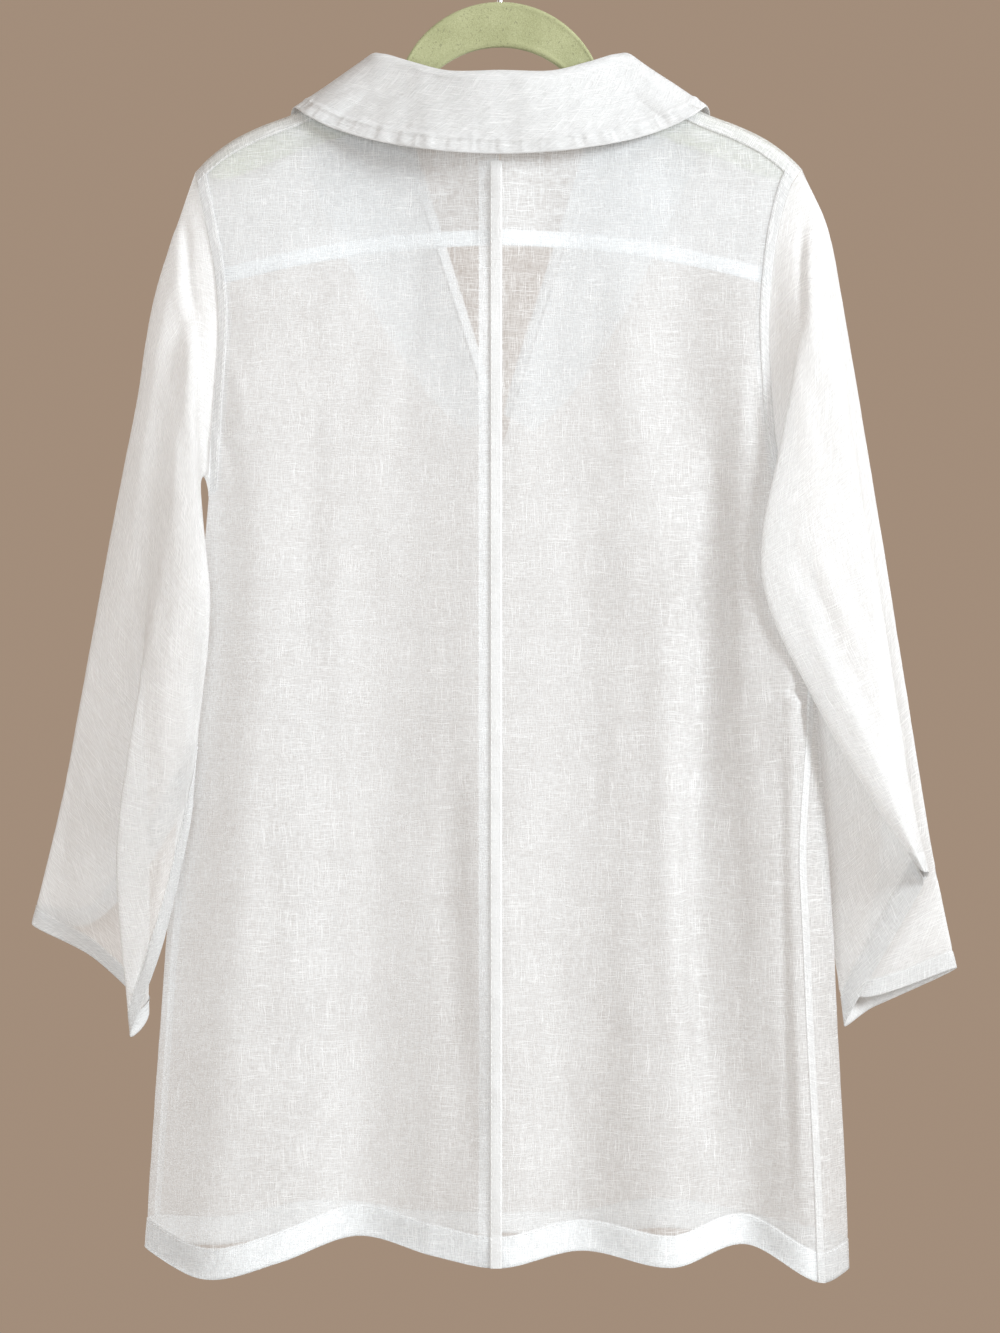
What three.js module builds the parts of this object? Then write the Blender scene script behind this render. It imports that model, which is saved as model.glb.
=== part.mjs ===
// A tunic jacket of thin slubby linen, hanging on a flat flocked hanger.
// Millimetres, +Z up. The back faces -Y, the front +Y, and -X is the left of the back view.
// The origin is the underside of the hook's crown, where a rail or peg carries the hanger.
import * as THREE from "three";

// Cloth
const WALL = 1.5; // panels and sleeves
const STRIP = 0.9; // felled seams and the facing, laid on a panel
const COLLAR_WALL = 2.0; // two layers of cloth
const GAP = 0.3; // between pieces at a seam
const LAY = 0.5; // between a panel and what lies on it
const HEM_RAISE = 0.5; // the turned cloth of a hem thickens the wall by this much

// Body
const TIP_Z = -181; // shoulder tips
const UNDERARM_Z = -412;
const HEM_Z = -936; // mean height of the hem
const HEM_HALF = 246; // half the hem's width as it hangs
const HEM_WIDTH = 20; // turned-up hem
const CUFF_WIDTH = 19;
const NECK_HALF = 84; // neck point, measured from the middle
const NECK_Z = -113;
const NECK_BACK_Z = -140; // back neckline at the middle
const NECK_BACK_DEPTH = 22; // how far the back stands out there
const NECK_RISE = 2.2; // how late the back neckline rises towards the neck points
const NECK_ROUND = 0.8; // how full its curve is, seen from above
const V_Z = -376; // where the fronts meet
const FRONT_HALF_GAP = 1; // each front stops this far from the middle
const RIDGE = 15; // height over which the cloth rounds over the shoulder
const RIDGE_Y = 0.3; // half the gap between back and front along the shoulder
const FACING_Z = -234; // lower edge of the back facing at the middle
const FACING_DROP = 28; // how much lower the facing's edge is at the armholes
const FACING_TOP = 16; // the facing starts this far under the shoulder line
const SEAM_WIDTH = 8.4; // raised part of the felled back seam
const FELL_WIDTH = 6.5; // shoulder, side and armhole seams
const SEAM_TOP = -176; // the back seam shows from under the collar down

// The shoulder line, from the neck point to the tip.
const SHOULDER = [
  { x: 84, z: -113 },
  { x: 115, z: -127 },
  { x: 146, z: -141 },
  { x: 166, z: -148.5 },
  { x: 184, z: -157 },
  { x: 196, z: -165 },
  { x: 206, z: -173.5 },
  { x: 213, z: -181 },
];

// Half widths down each edge, the depth of the back and the front, and how far the armhole stands open.
const OUTLINE = [
  { z: -181, left: 213, right: 211, back: 11, front: 11, open: 8 },
  { z: -196, left: 210, right: 202, back: 12, front: 12, open: 10 },
  { z: -225, left: 204, right: 194, back: 13, front: 13, open: 12 },
  { z: -255, left: 198.5, right: 189.5, back: 15, front: 15, open: 13 },
  { z: -290, left: 196, right: 187, back: 17, front: 17, open: 14 },
  { z: -330, left: 198, right: 188.5, back: 19, front: 20, open: 13 },
  { z: -370, left: 201, right: 192, back: 21, front: 22, open: 10 },
  { z: -398, left: 202.5, right: 198, back: 22, front: 24, open: 5 },
  { z: -412, left: 204, right: 203, back: 23, front: 25, open: 0 },
  { z: -480, left: 210, right: 213, back: 26, front: 28, open: 0 },
  { z: -550, left: 217, right: 222, back: 29, front: 32, open: 0 },
  { z: -670, left: 229, right: 231, back: 34, front: 37, open: 0 },
  { z: -770, left: 237, right: 236, back: 38, front: 41, open: 0 },
  { z: -860, left: 243, right: 241, back: 42, front: 45, open: 0 },
  { z: -936, left: 248, right: 244, back: 45, front: 48, open: 0 },
];

// Flutes at the hem, across the back view: how far each crest (+) or hollow (-) stands out, and the
// height of the hem there.
const BACK_FLUTES = [
  { x: -246, out: 4, hem: -932 },
  { x: -200, out: 20, hem: -947 },
  { x: -150, out: 4, hem: -936 },
  { x: -98, out: -20, hem: -921 },
  { x: -45, out: -2, hem: -932 },
  { x: 0, out: 8, hem: -938.5 },
  { x: 57, out: -7, hem: -929 },
  { x: 119, out: 8, hem: -938.5 },
  { x: 172, out: -14, hem: -926.5 },
  { x: 222, out: 22, hem: -951 },
  { x: 246, out: 8, hem: -947 },
];
const FRONT_FLUTES = [
  { x: -246, out: 4, hem: -932 },
  { x: -196, out: 14, hem: -940 },
  { x: -128, out: -16, hem: -926 },
  { x: -62, out: 14, hem: -936 },
  { x: 0, out: -4, hem: -931 },
  { x: 54, out: 12, hem: -936 },
  { x: 122, out: -18, hem: -925 },
  { x: 198, out: 16, hem: -942 },
  { x: 246, out: 8, hem: -947 },
];
// How much of each flute is there at a height.
const FLUTE_GROWTH = [
  { z: -150, share: 0 },
  { z: -250, share: 0.1 },
  { z: -412, share: 0.3 },
  { z: -640, share: 0.6 },
  { z: -960, share: 1 },
];

// The side seams turn away from the outline below the underarm: towards the back on the right.
const SEAM_TURN = { left: 12, right: -25 }; // degrees
const SEAM_TURN_SPAN = 0.35; // share of the body's height over which they turn

const NECK_REACH = 140; // height over which the back settles from the neck to its own depth
const NECK_COLUMNS = [0, 0.33, 0.66, 0.9]; // shares of the way to the neck point
const SIDE_COLUMNS = 11;
const SHOULDER_ROWS = [0, 0.004, 0.011]; // heights as v
const ARMHOLE_TOP = 0.022;
const ARMHOLE_ROWS = 6;
const SKIRT_ROWS = 11;
const HEM_STEP = 0.0015; // height over which the hem's thickness starts, as v
const LEAST_STEP = 0.002; // rows of a strip are at least this far apart
const EDGE_TURN = 0.1; // radians beside the armhole over which the cloth keeps its direction
const SHOULDER_SEAM_X = 149; // the shoulder seam shows from beside the collar outwards
const SEAM_RIGHT = 1.4; // right edge of the raised back seam
const FACING_GAP = 0.8; // the facing starts this far from the middle
const FACING_ROWS = 7;
const SLEEVE_GAP = 0.5; // at the armhole
const ARMHOLE_SEAM = { top: 0.03, bottom: 0.25, inset: 0.6 }; // heights as v, and how far in it starts
const SHOULDER_SEAM = { top: 0.005, bottom: 0.0135, turn: 0.02 }; // and its first column as an angle
const SIDE_SEAM_DROP = 0.05; // how far under the underarm the side seam's strip starts, as v

// Sleeves: a row for each fold line, in order round the sleeve. start is its share of the way round
// the armhole, and x, y and z follow it from there to the cuff.
const RING_STEPS = 4;
const SLEEVE_STEPS = 3;
const UNDERARM_SPAN = 0.13; // share of the armhole that lies beside the underarm
const CUFF_STEP = 0.06; // share of the cuff's hem over which its thickness starts
const LEFT_FOLDS = [
  {
    fold: "outer edge",
    start: 0,
    x: [-241, -254, -269, -285, -307, -328],
    y: [0, 0, 0, 0, 0, 2],
    z: [-266, -340, -419, -504, -621, -707],
  },
  {
    fold: "outer strip",
    start: 0.1,
    x: [-233, -246, -258, -268, -282, -284],
    y: [-13, -13, -12, -9, -4, -1],
    z: [-275, -352, -430, -512, -635, -731],
  },
  {
    fold: "pleat behind the drape",
    start: 0.2,
    x: [-221, -234, -244, -249, -244, -245],
    y: [-17, -18, -18, -16, -14, -11],
    z: [-290, -370, -445, -522, -660, -768],
  },
  {
    fold: "drape, outer fold",
    start: 0.28,
    x: [-214, -224, -234, -248, -265, -256],
    y: [-24, -26, -27, -27, -26, -24],
    z: [-315, -395, -468, -535, -655, -782],
  },
  {
    fold: "drape, middle",
    start: 0.38,
    x: [-211, -213, -217, -221, -228, -232],
    y: [-22, -28, -31, -31, -30, -27],
    z: [-352, -425, -495, -560, -650, -715],
  },
  {
    fold: "inner edge",
    start: 0.46,
    x: [-212, -204, -201, -203, -209, -213.5],
    y: [-12, -21, -24, -25, -25, -24],
    z: [-398, -446, -480, -520, -572, -621],
  },
  {
    fold: "far side, inner",
    start: 0.6,
    x: [-214, -221, -228, -236, -243, -248],
    y: [12, 11, 10, 9, 8, 7],
    z: [-385, -445, -500, -560, -620, -668],
  },
  {
    fold: "far side, outer",
    start: 0.85,
    x: [-232, -246, -257, -266, -281, -288],
    y: [14, 14, 14, 14, 13, 13],
    z: [-300, -372, -450, -530, -630, -708],
  },
];
const RIGHT_FOLDS = [
  {
    fold: "outer edge",
    start: 0,
    x: [230, 243, 256, 270, 285, 301, 321],
    y: [0, 0, 0, 1, 4, 8, 12],
    z: [-225, -295, -370, -455, -545, -642, -739],
  },
  {
    fold: "turn behind the flap",
    start: 0.09,
    x: [225, 238, 250, 260, 266, 268, 264],
    y: [-12, -13, -12, -8, -4, -2, 0],
    z: [-240, -308, -380, -468, -562, -655, -757],
  },
  {
    fold: "fine fold",
    start: 0.17,
    x: [219, 233, 247, 262, 279, 296, 311],
    y: [-20, -21, -20, -18, -16, -15, -15],
    z: [-258, -322, -392, -472, -552, -624, -682],
  },
  {
    fold: "drape, middle",
    start: 0.26,
    x: [212, 215, 217, 226, 248, 275, 297],
    y: [-26, -29, -31, -31, -31, -31, -32],
    z: [-285, -345, -412, -480, -548, -618, -672],
  },
  {
    fold: "drape, lower edge",
    start: 0.35,
    x: [203, 194, 181, 185, 212, 254, 278],
    y: [-24, -27, -29, -29, -28, -27, -28],
    z: [-318, -372, -437, -483, -541, -614, -664],
  },
  {
    fold: "pleat under the drape",
    start: 0.43,
    x: [206, 209, 215, 225, 247, 277, 301],
    y: [-12, -15, -14, -14, -14, -14, -14.5],
    z: [-370, -402, -440, -490, -546, -620, -684],
  },
  {
    fold: "flap, inner edge",
    start: 0.53,
    x: [213, 215, 218, 221, 225, 234, 244],
    y: [5, 8, 10, 11, 10, 5, -3],
    z: [-403, -434, -462, -510, -580, -670, -776],
  },
  {
    fold: "far side",
    start: 0.75,
    x: [215, 228, 238, 250, 262, 266, 264],
    y: [16, 17, 18, 19, 20, 22, 24],
    z: [-320, -360, -420, -490, -565, -665, -768],
  },
];

// Collar: stations from the centre back round one side of the neck to the end of the front.
// In front the depths (0 here) follow the front panel.
const ROLL_RADIUS = 2.4;
const COLLAR_STEPS = 2;
const SECTION_STEPS = [1, 2, 2, 4]; // columns from the seam over the roll to the edge
const STAND_COLUMNS = 3; // columns of the stand, which lies inside the neck
const TANGENT_STEP = 0.05;
const DEPTH_ROUNDS = 12; // rounds in which a place on the body is found
const ROLL_SHARE = 0.22; // the roll's radius is at most this share of the stand's width
const LAPEL_LIFT = 5.5;
const FRONT_START = 6.1; // stations nearer to an end than this lie on the front
const COLLAR = [
  { seam: [0, -22.5, -139], roll: [0, -26, -115], edge: [0, -31, -173] },
  { seam: [34, -20, -135], roll: [35, -24, -115], edge: [44, -30, -170.5] },
  { seam: [60, -14, -126], roll: [60, -17, -108], edge: [84, -24, -163.5] },
  { seam: [73, -9, -119], roll: [76, -10, -102], edge: [114, -18, -154] },
  { seam: [79, -5, -113], roll: [83, -5, -100], edge: [134, -13, -144] },
  { seam: [80.5, 0, -110], roll: [85, 0, -99.5], edge: [144.5, 0, -136] },
  { seam: [79, 5, -115], roll: [82, 8, -104], edge: [147, 14, -146] },
  { front: true, seam: [70, 0, -147], roll: [67, 0, -140], edge: [138, 0, -172] },
  { front: true, seam: [57.5, 0, -190], roll: [52.5, 0, -187], edge: [122, 0, -208] },
  { front: true, seam: [35.3, 0, -260], roll: [30, 0, -258], edge: [88, 0, -278] },
  { front: true, seam: [15.8, 0, -321], roll: [10.5, 0, -320], edge: [50, 0, -335] },
  { front: true, seam: [6.6, 0, -350], roll: [3.5, 0, -349], edge: [24, 0, -360] },
];

// Hanger and hook
const HANGER_THICK = 6;
const HANGER_BEVEL = 1.2;
const HANGER_TOP = -62; // crown of the arch
const ARCH_RADIUS = 73.5;
const ARCH_Z = HANGER_TOP - ARCH_RADIUS;
const ARCH_TURN = 1.2; // radians from the crown to where the arch meets the arm
const INNER_RADIUS = 67;
const INNER_Z = -160.7;
const INNER_TURN = 1.35;
const ARCH_STEPS = 8;
// The arms' top edge runs just under the cloth of the shoulders.
const ARM_TOP = [
  { x: 72, z: -116.5 },
  { x: 78, z: -120.5 },
  { x: 88, z: -121 },
  { x: 115, z: -130 },
  { x: 146, z: -143.2 },
  { x: 166, z: -150.8 },
  { x: 184, z: -160 },
  { x: 196, z: -168.6 },
  { x: 203, z: -175 },
];
const ARM_END = 203;
const ARM_BOTTOM = [
  { x: 203, z: -186 },
  { x: 190, z: -186 },
  { x: 150, z: -170 },
  { x: 110, z: -156 },
  { x: 84, z: -150 },
];
const HOOK_WIRE = 3.8;
const HOOK_RADIUS = 20; // to the middle of the wire
const HOOK_BEND_Z = -50;
const HOOK_SWEEP = 3.5; // radians
const HOOK_RISE = 8; // how far the wire keeps straight before and after its bend
const HOOK_DROP = 14;
const HOOK_STEPS = 30;
const HOOK_SIDES = 5;
const ARC_STEPS = 14;

const LINEN = { color: 0xf3f1ec, roughness: 0.92, metalness: 0 };
const LINEN_DOUBLE = { color: 0xf8f6f1, roughness: 0.9, metalness: 0 };
const FLOCK = { color: 0xb9c39a, roughness: 0.95, metalness: 0 };
const WIRE = { color: 0xb8b8b4, roughness: 0.3, metalness: 1 };

const jacket = new THREE.Group();

function lerp(a, b, t) {
  return a + (b - a) * t;
}

function smooth(t) {
  const c = Math.min(1, Math.max(0, t));
  return c * c * (3 - 2 * c);
}

// Reads a column of a table at any value of its key, along a smooth curve through the rows.
function read(rows, key, column, at) {
  const last = rows.length - 1;
  const sign = rows[last][key] > rows[0][key] ? 1 : -1;
  let i = 0;
  while (i < last - 1 && sign * at > sign * rows[i + 1][key]) i += 1;
  const slope = (j) => {
    const a = rows[Math.max(0, j - 1)];
    const b = rows[Math.min(last, j + 1)];
    return (b[column] - a[column]) / (b[key] - a[key]);
  };
  const step = rows[i + 1][key] - rows[i][key];
  const t = Math.min(1, Math.max(0, (at - rows[i][key]) / step));
  const t2 = t * t;
  const t3 = t2 * t;
  return (
    (2 * t3 - 3 * t2 + 1) * rows[i][column] +
    (t3 - 2 * t2 + t) * step * slope(i) +
    (3 * t2 - 2 * t3) * rows[i + 1][column] +
    (t3 - t2) * step * slope(i + 1)
  );
}

function addPiece(name, geometry, finish) {
  const mesh = new THREE.Mesh(geometry, new THREE.MeshStandardMaterial(finish));
  mesh.name = name;
  jacket.add(mesh);
  return mesh;
}

// A closed wall between two offsets of a grid of points. A closed grid joins its last column to its first.
// The offsets are given for each row.
function wall(points, normals, from, to, closed = false) {
  const rows = points.length;
  const columns = points[0].length;
  const positions = [];
  for (const offsets of [to, from]) {
    points.forEach((row, i) =>
      row.forEach((p, j) => {
        const q = p.clone().addScaledVector(normals[i][j], offsets[i]);
        positions.push(q.x, q.y, q.z);
      }),
    );
  }
  const at = (layer, i, j) => layer * rows * columns + i * columns + (j % columns);
  const index = [];
  const quad = (a, b, c, d) => index.push(a, b, c, a, c, d);
  const spans = closed ? columns : columns - 1;
  for (let i = 0; i < rows - 1; i += 1) {
    for (let j = 0; j < spans; j += 1) {
      quad(at(0, i, j), at(0, i + 1, j), at(0, i + 1, j + 1), at(0, i, j + 1));
      quad(at(1, i, j), at(1, i, j + 1), at(1, i + 1, j + 1), at(1, i + 1, j));
    }
    if (!closed) {
      quad(at(0, i, 0), at(1, i, 0), at(1, i + 1, 0), at(0, i + 1, 0));
      const e = columns - 1;
      quad(at(0, i, e), at(0, i + 1, e), at(1, i + 1, e), at(1, i, e));
    }
  }
  for (let j = 0; j < spans; j += 1) {
    const e = rows - 1;
    quad(at(0, 0, j), at(0, 0, j + 1), at(1, 0, j + 1), at(1, 0, j));
    quad(at(0, e, j), at(1, e, j), at(1, e, j + 1), at(0, e, j + 1));
  }
  if (signedVolume(positions, index) < 0) {
    for (let k = 0; k < index.length; k += 3) [index[k + 1], index[k + 2]] = [index[k + 2], index[k + 1]];
  }
  const geometry = new THREE.BufferGeometry();
  geometry.setAttribute("position", new THREE.Float32BufferAttribute(positions, 3));
  geometry.setIndex(index);
  geometry.computeVertexNormals();
  return geometry;
}

function signedVolume(positions, index) {
  const corner = (k) => new THREE.Vector3().fromArray(positions, 3 * index[k]);
  let sum = 0;
  for (let k = 0; k < index.length; k += 3) sum += corner(k).dot(corner(k + 1).cross(corner(k + 2)));
  return sum / 6;
}

// Body

// Height of the top edge above a point that lies x from the middle there: neckline, then shoulder.
function topEdge(x, front) {
  if (x >= NECK_HALF) return read(SHOULDER, "x", "z", x);
  const t = Math.max(0, x) / NECK_HALF;
  return front ? lerp(V_Z, NECK_Z, t) : lerp(NECK_BACK_Z, NECK_Z, t ** NECK_RISE);
}

function flute(xAtHem, front, column) {
  return read(front ? FRONT_FLUTES : BACK_FLUTES, "x", column, xAtHem);
}

const UNDERARM_V = (UNDERARM_Z - TIP_Z) / (HEM_Z - TIP_Z);
const NECK_ANGLE = Math.asin(NECK_HALF / OUTLINE[0].right);

function halfWidth(side, v) {
  return read(OUTLINE, "z", side < 0 ? "left" : "right", lerp(TIP_Z, HEM_Z, v));
}

// A point of the body's mid-surface. The angle runs from the middle of the back (0) past the side
// (90 degrees) to the middle of the front (180), and v from the top edge (0) to the hem (1).
function bodyPoint(side, angle, v, front) {
  const s = Math.sin(angle);
  const c = Math.cos(angle);
  const edgeZ = lerp(TIP_Z, HEM_Z, v);
  const xTop = halfWidth(side, 0) * s;
  const top = topEdge(xTop, front);
  const wave = flute(side * s * HEM_HALF, c < 0, "out");
  const z = lerp(top, flute(side * s * HEM_HALF, c < 0, "hem"), v);
  const flat = Math.sqrt(Math.max(0, 1 - s ** 4));
  const depth = read(OUTLINE, "z", c < 0 ? "front" : "back", z) + wave * read(FLUTE_GROWTH, "z", "share", z);
  const open = edgeZ > UNDERARM_Z ? Math.max(0, read(OUTLINE, "z", "open", edgeZ)) : 0;
  const facing = front ? 1 : -1;
  const full = facing * open * (1 - flat) - Math.sign(c) * depth * flat;
  // The cloth rounds over the shoulder, and the back stands away from the neck.
  const neck = Math.min(1, Math.max(0, xTop / NECK_HALF));
  const below = front && neck < 1 ? NECK_Z - z : top - z;
  const r = Math.min(1, Math.max(0, below / (front ? RIDGE : lerp(NECK_REACH, RIDGE, neck))));
  const round = Math.sqrt(1 - (1 - r) ** 2);
  const rise = front ? round : lerp(smooth(r), round, neck);
  const standing = front ? 0 : NECK_BACK_DEPTH * Math.cos((Math.PI / 2) * neck) ** NECK_ROUND;
  const y = lerp(facing * (RIDGE_Y + standing), full, rise);
  return new THREE.Vector3(side * halfWidth(side, v) * s, y, z);
}

function bodyNormal(side, angle, v, front) {
  const e = 1e-3;
  let at = angle;
  // Above the underarm the armhole's edge keeps the direction of the cloth beside it.
  if (v < UNDERARM_V && front) at = Math.max(angle, Math.PI / 2 + EDGE_TURN);
  if (v < UNDERARM_V && !front) at = Math.min(angle, Math.PI / 2 - EDGE_TURN);
  const across = bodyPoint(side, at + e, v, front).sub(bodyPoint(side, at - e, v, front));
  const down = bodyPoint(side, angle, Math.min(1, v + e / 2), front);
  down.sub(bodyPoint(side, angle, Math.max(0, v - e / 2), front));
  const normal = across.cross(down).multiplyScalar(-side);
  // Along the shoulder both panels end square, face to face.
  if (v === 0 && Math.abs(Math.sin(angle)) > Math.sin(NECK_ANGLE)) normal.setY(0);
  return normal.normalize();
}

// The angle at which the side seam lies in a row.
function sideAngle(side, v) {
  const turn = SEAM_TURN[side < 0 ? "left" : "right"];
  return THREE.MathUtils.degToRad(90 + turn * smooth((v - UNDERARM_V) / SEAM_TURN_SPAN));
}

// A width of cloth beside the side seam, as an angle.
function sideTurn(side, v, width) {
  const e = 0.01;
  const seam = sideAngle(side, v);
  const span = bodyPoint(side, seam - e, v, false).distanceTo(bodyPoint(side, seam + e, v, true));
  return (width * 2 * e) / span;
}

function seamGap(side, v) {
  return v > UNDERARM_V ? sideTurn(side, v, GAP / 2) : GAP / 2 / halfWidth(side, v);
}

// A grid of points on the body with their normals: rows of v, and in each row angles from a function.
function bodyGrid(side, front, rows, angles) {
  const points = [];
  const normals = [];
  for (const v of rows) {
    const row = angles(v);
    points.push(row.map((angle) => bodyPoint(side, angle, v, front)));
    normals.push(row.map((angle) => bodyNormal(side, angle, v, front)));
  }
  return { points, normals };
}

// Angles across a whole panel, from the middle over the neck point to the side seam.
function panelAngles(side, front, v) {
  const middle = Math.asin((front ? FRONT_HALF_GAP : GAP / 2) / halfWidth(side, v));
  const from = front ? Math.PI - middle : middle;
  const neck = front ? Math.PI - NECK_ANGLE : NECK_ANGLE;
  const to = sideAngle(side, v) + (front ? 1 : -1) * seamGap(side, v);
  const angles = [];
  for (const share of NECK_COLUMNS) angles.push(lerp(from, neck, share));
  for (let k = 0; k <= SIDE_COLUMNS; k += 1) angles.push(lerp(neck, to, k / SIDE_COLUMNS));
  return angles;
}

function steps(from, to, count) {
  return Array.from({ length: count + 1 }, (_, i) => lerp(from, to, i / count));
}

// Rows of a panel: close together over the shoulder, then even down to the underarm and the hem.
const HEM_TOP_V = 1 - HEM_WIDTH / (TIP_Z - HEM_Z);
const PANEL_ROWS = [
  ...SHOULDER_ROWS,
  ...steps(ARMHOLE_TOP, UNDERARM_V, ARMHOLE_ROWS),
  ...steps(UNDERARM_V, HEM_TOP_V, SKIRT_ROWS).slice(1),
  ...[HEM_TOP_V + HEM_STEP, 1],
];

// How far the outside of a panel stands out at a height: further over the hem.
function outside(v) {
  return WALL / 2 + (v > HEM_TOP_V ? HEM_RAISE : 0);
}

// How far down its column a height lies, as v.
function rowAt(side, angle, front, z) {
  const top = bodyPoint(side, angle, 0, front).z;
  const bottom = bodyPoint(side, angle, 1, front).z;
  return (top - z) / (top - bottom);
}

const PANELS = new Map();
for (const side of [-1, 1]) {
  for (const front of [false, true]) {
    const grid = bodyGrid(side, front, PANEL_ROWS, (v) => panelAngles(side, front, v));
    PANELS.set(`${side} ${front}`, grid);
  }
}

// A place on a panel's own faces, with the normal there: what lies on a panel is made from these.
function onPanel(side, front, angle, v) {
  const { points, normals } = PANELS.get(`${side} ${front}`);
  let i = 0;
  while (i < PANEL_ROWS.length - 2 && v > PANEL_ROWS[i + 1]) i += 1;
  const g = (v - PANEL_ROWS[i]) / (PANEL_ROWS[i + 1] - PANEL_ROWS[i]);
  const angles = panelAngles(side, front, v);
  const sign = front ? -1 : 1;
  let j = 0;
  while (j < angles.length - 2 && sign * angle > sign * angles[j + 1]) j += 1;
  const f = (angle - angles[j]) / (angles[j + 1] - angles[j]);
  const mix = (grid) => {
    const upper = grid[i][j].clone().lerp(grid[i][j + 1], f);
    return upper.lerp(grid[i + 1][j].clone().lerp(grid[i + 1][j + 1], f), g);
  };
  return { point: mix(points), normal: mix(normals).normalize() };
}

// Rows from one height to another that share the panel's own rows between them.
function rowsBetween(from, to) {
  return [from, ...PANEL_ROWS.filter((v) => v > from + LEAST_STEP && v < to - LEAST_STEP), to];
}

// A strip laid on the outside of the body: for each row a list of [side, front, angle].
function laidStrip(rows, places) {
  const grid = rows.map((v) => places(v).map(([side, front, angle]) => onPanel(side, front, angle, v)));
  const points = grid.map((row) => row.map((place) => place.point));
  const normals = grid.map((row) => row.map((place) => place.normal));
  const under = rows.map((v) => outside(v) + LAY);
  return wall(points, normals, under, under.map((offset) => offset + STRIP));
}

function addBody(name, side) {
  for (const [part, front] of [["back_", false], ["front_", true]]) {
    const { points, normals } = PANELS.get(`${side} ${front}`);
    const inside = PANEL_ROWS.map(() => -WALL / 2);
    addPiece(part + name, wall(points, normals, inside, PANEL_ROWS.map(outside)), LINEN);
    addPiece("armhole_seam_" + part + name, armholeSeam(side, front), LINEN_DOUBLE);
  }
  addPiece("back_facing_" + name, backFacing(side), LINEN_DOUBLE);
  addPiece("shoulder_seam_" + name, shoulderSeam(side), LINEN_DOUBLE);
  addPiece("side_seam_" + name, sideSeam(side), LINEN_DOUBLE);
}

// Felled seam along the armhole, on the body's side of it.
function armholeSeam(side, front) {
  const sign = front ? 1 : -1;
  const { top, bottom, inset } = ARMHOLE_SEAM;
  const places = (v) =>
    [inset, FELL_WIDTH].map((x) => [side, front, Math.PI / 2 + sign * Math.acos(1 - x / halfWidth(side, v))]);
  return laidStrip(rowsBetween(top, bottom), places);
}

// Felled shoulder seam on the back, from beside the collar to the tip.
function shoulderSeam(side) {
  const from = Math.asin(SHOULDER_SEAM_X / halfWidth(side, 0));
  const beside = panelAngles(side, false, 0).filter((a) => a > from + SHOULDER_SEAM.turn).slice(0, -1);
  const rows = rowsBetween(SHOULDER_SEAM.top, SHOULDER_SEAM.bottom);
  return laidStrip(rows, () => [from, ...beside].map((angle) => [side, false, angle]));
}

// Felled side seam, over the edges of both panels.
function sideSeam(side) {
  const places = (v) => {
    const seam = sideAngle(side, v);
    const turn = sideTurn(side, v, FELL_WIDTH / 2);
    return [[side, false, seam - turn], [side, false, seam], [side, true, seam + turn]];
  };
  return laidStrip(rowsBetween(UNDERARM_V + SIDE_SEAM_DROP, 1), places);
}

// Felled centre-back seam. Its strip lies mostly on the left half.
function centreBackSeam() {
  const places = (v) =>
    [SEAM_RIGHT - SEAM_WIDTH, 0, SEAM_RIGHT].map((x) => {
      const side = x > 0 ? 1 : -1;
      return [side, false, Math.asin(Math.abs(x) / halfWidth(side, v))];
    });
  return laidStrip(rowsBetween(rowAt(1, 0, false, SEAM_TOP), 1), places);
}

// The facing lies inside the back, from the neckline and the shoulder to a curved hem.
function backFacing(side) {
  const level = UNDERARM_V / 2;
  const angles = panelAngles(side, false, level).slice(0, -1);
  angles[0] = FACING_GAP / halfWidth(side, level);
  const grid = steps(0, 1, FACING_ROWS).map((t) =>
    angles.map((angle) => {
      const x = halfWidth(side, level) * Math.sin(angle);
      const first = rowAt(side, angle, false, bodyPoint(side, angle, 0, false).z - FACING_TOP);
      const low = FACING_Z - FACING_DROP * (x / halfWidth(side, level)) ** 2;
      return onPanel(side, false, angle, lerp(first, rowAt(side, angle, false, low), t));
    }),
  );
  const points = grid.map((row) => row.map((place) => place.point));
  const normals = grid.map((row) => row.map((place) => place.normal));
  const under = grid.map(() => -WALL / 2 - LAY);
  return wall(points, normals, under.map((offset) => offset - STRIP), under);
}

// Sleeves

function catmull(a, b, c, d, t) {
  const t2 = t * t;
  const t3 = t2 * t;
  return b
    .clone()
    .multiplyScalar(1.5 * t3 - 2.5 * t2 + 1)
    .addScaledVector(a, -0.5 * t3 + t2 - 0.5 * t)
    .addScaledVector(c, -1.5 * t3 + 2 * t2 + 0.5 * t)
    .addScaledVector(d, 0.5 * t3 - 0.5 * t2);
}

// A curve from b to c whose tangents are no longer than the shorter chord beside them, so that it turns
// a tight fold without a loop.
function roundFold(a, b, c, d, t) {
  const tangent = (p, q, r) => {
    const m = r.clone().sub(p).multiplyScalar(0.5);
    const most = Math.min(p.distanceTo(q) || Infinity, q.distanceTo(r) || Infinity);
    return m.clampLength(0, most);
  };
  const t2 = t * t;
  const t3 = t2 * t;
  return b
    .clone()
    .multiplyScalar(2 * t3 - 3 * t2 + 1)
    .addScaledVector(c, 3 * t2 - 2 * t3)
    .addScaledVector(tangent(a, b, c), t3 - 2 * t2 + t)
    .addScaledVector(tangent(b, c, d), t3 - t2);
}

function alongFold(points, t) {
  const last = points.length - 1;
  const i = Math.min(last - 1, Math.floor(t));
  const a = points[Math.max(0, i - 1)];
  const d = points[Math.min(last, i + 2)];
  return catmull(a, points[i], points[i + 1], d, t - i);
}

// The armhole's edge, just outside the panels: share 0 is the shoulder tip, then down the back edge to
// the underarm (0.5) and up the front edge.
function armholePoint(side, share) {
  const front = share > 0.5;
  const v = 2 * (front ? 1 - share : share) * UNDERARM_V;
  const { point } = onPanel(side, front, Math.PI / 2, v);
  if (share === 0) point.y = 0;
  point.x += side * SLEEVE_GAP;
  return point;
}

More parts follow.
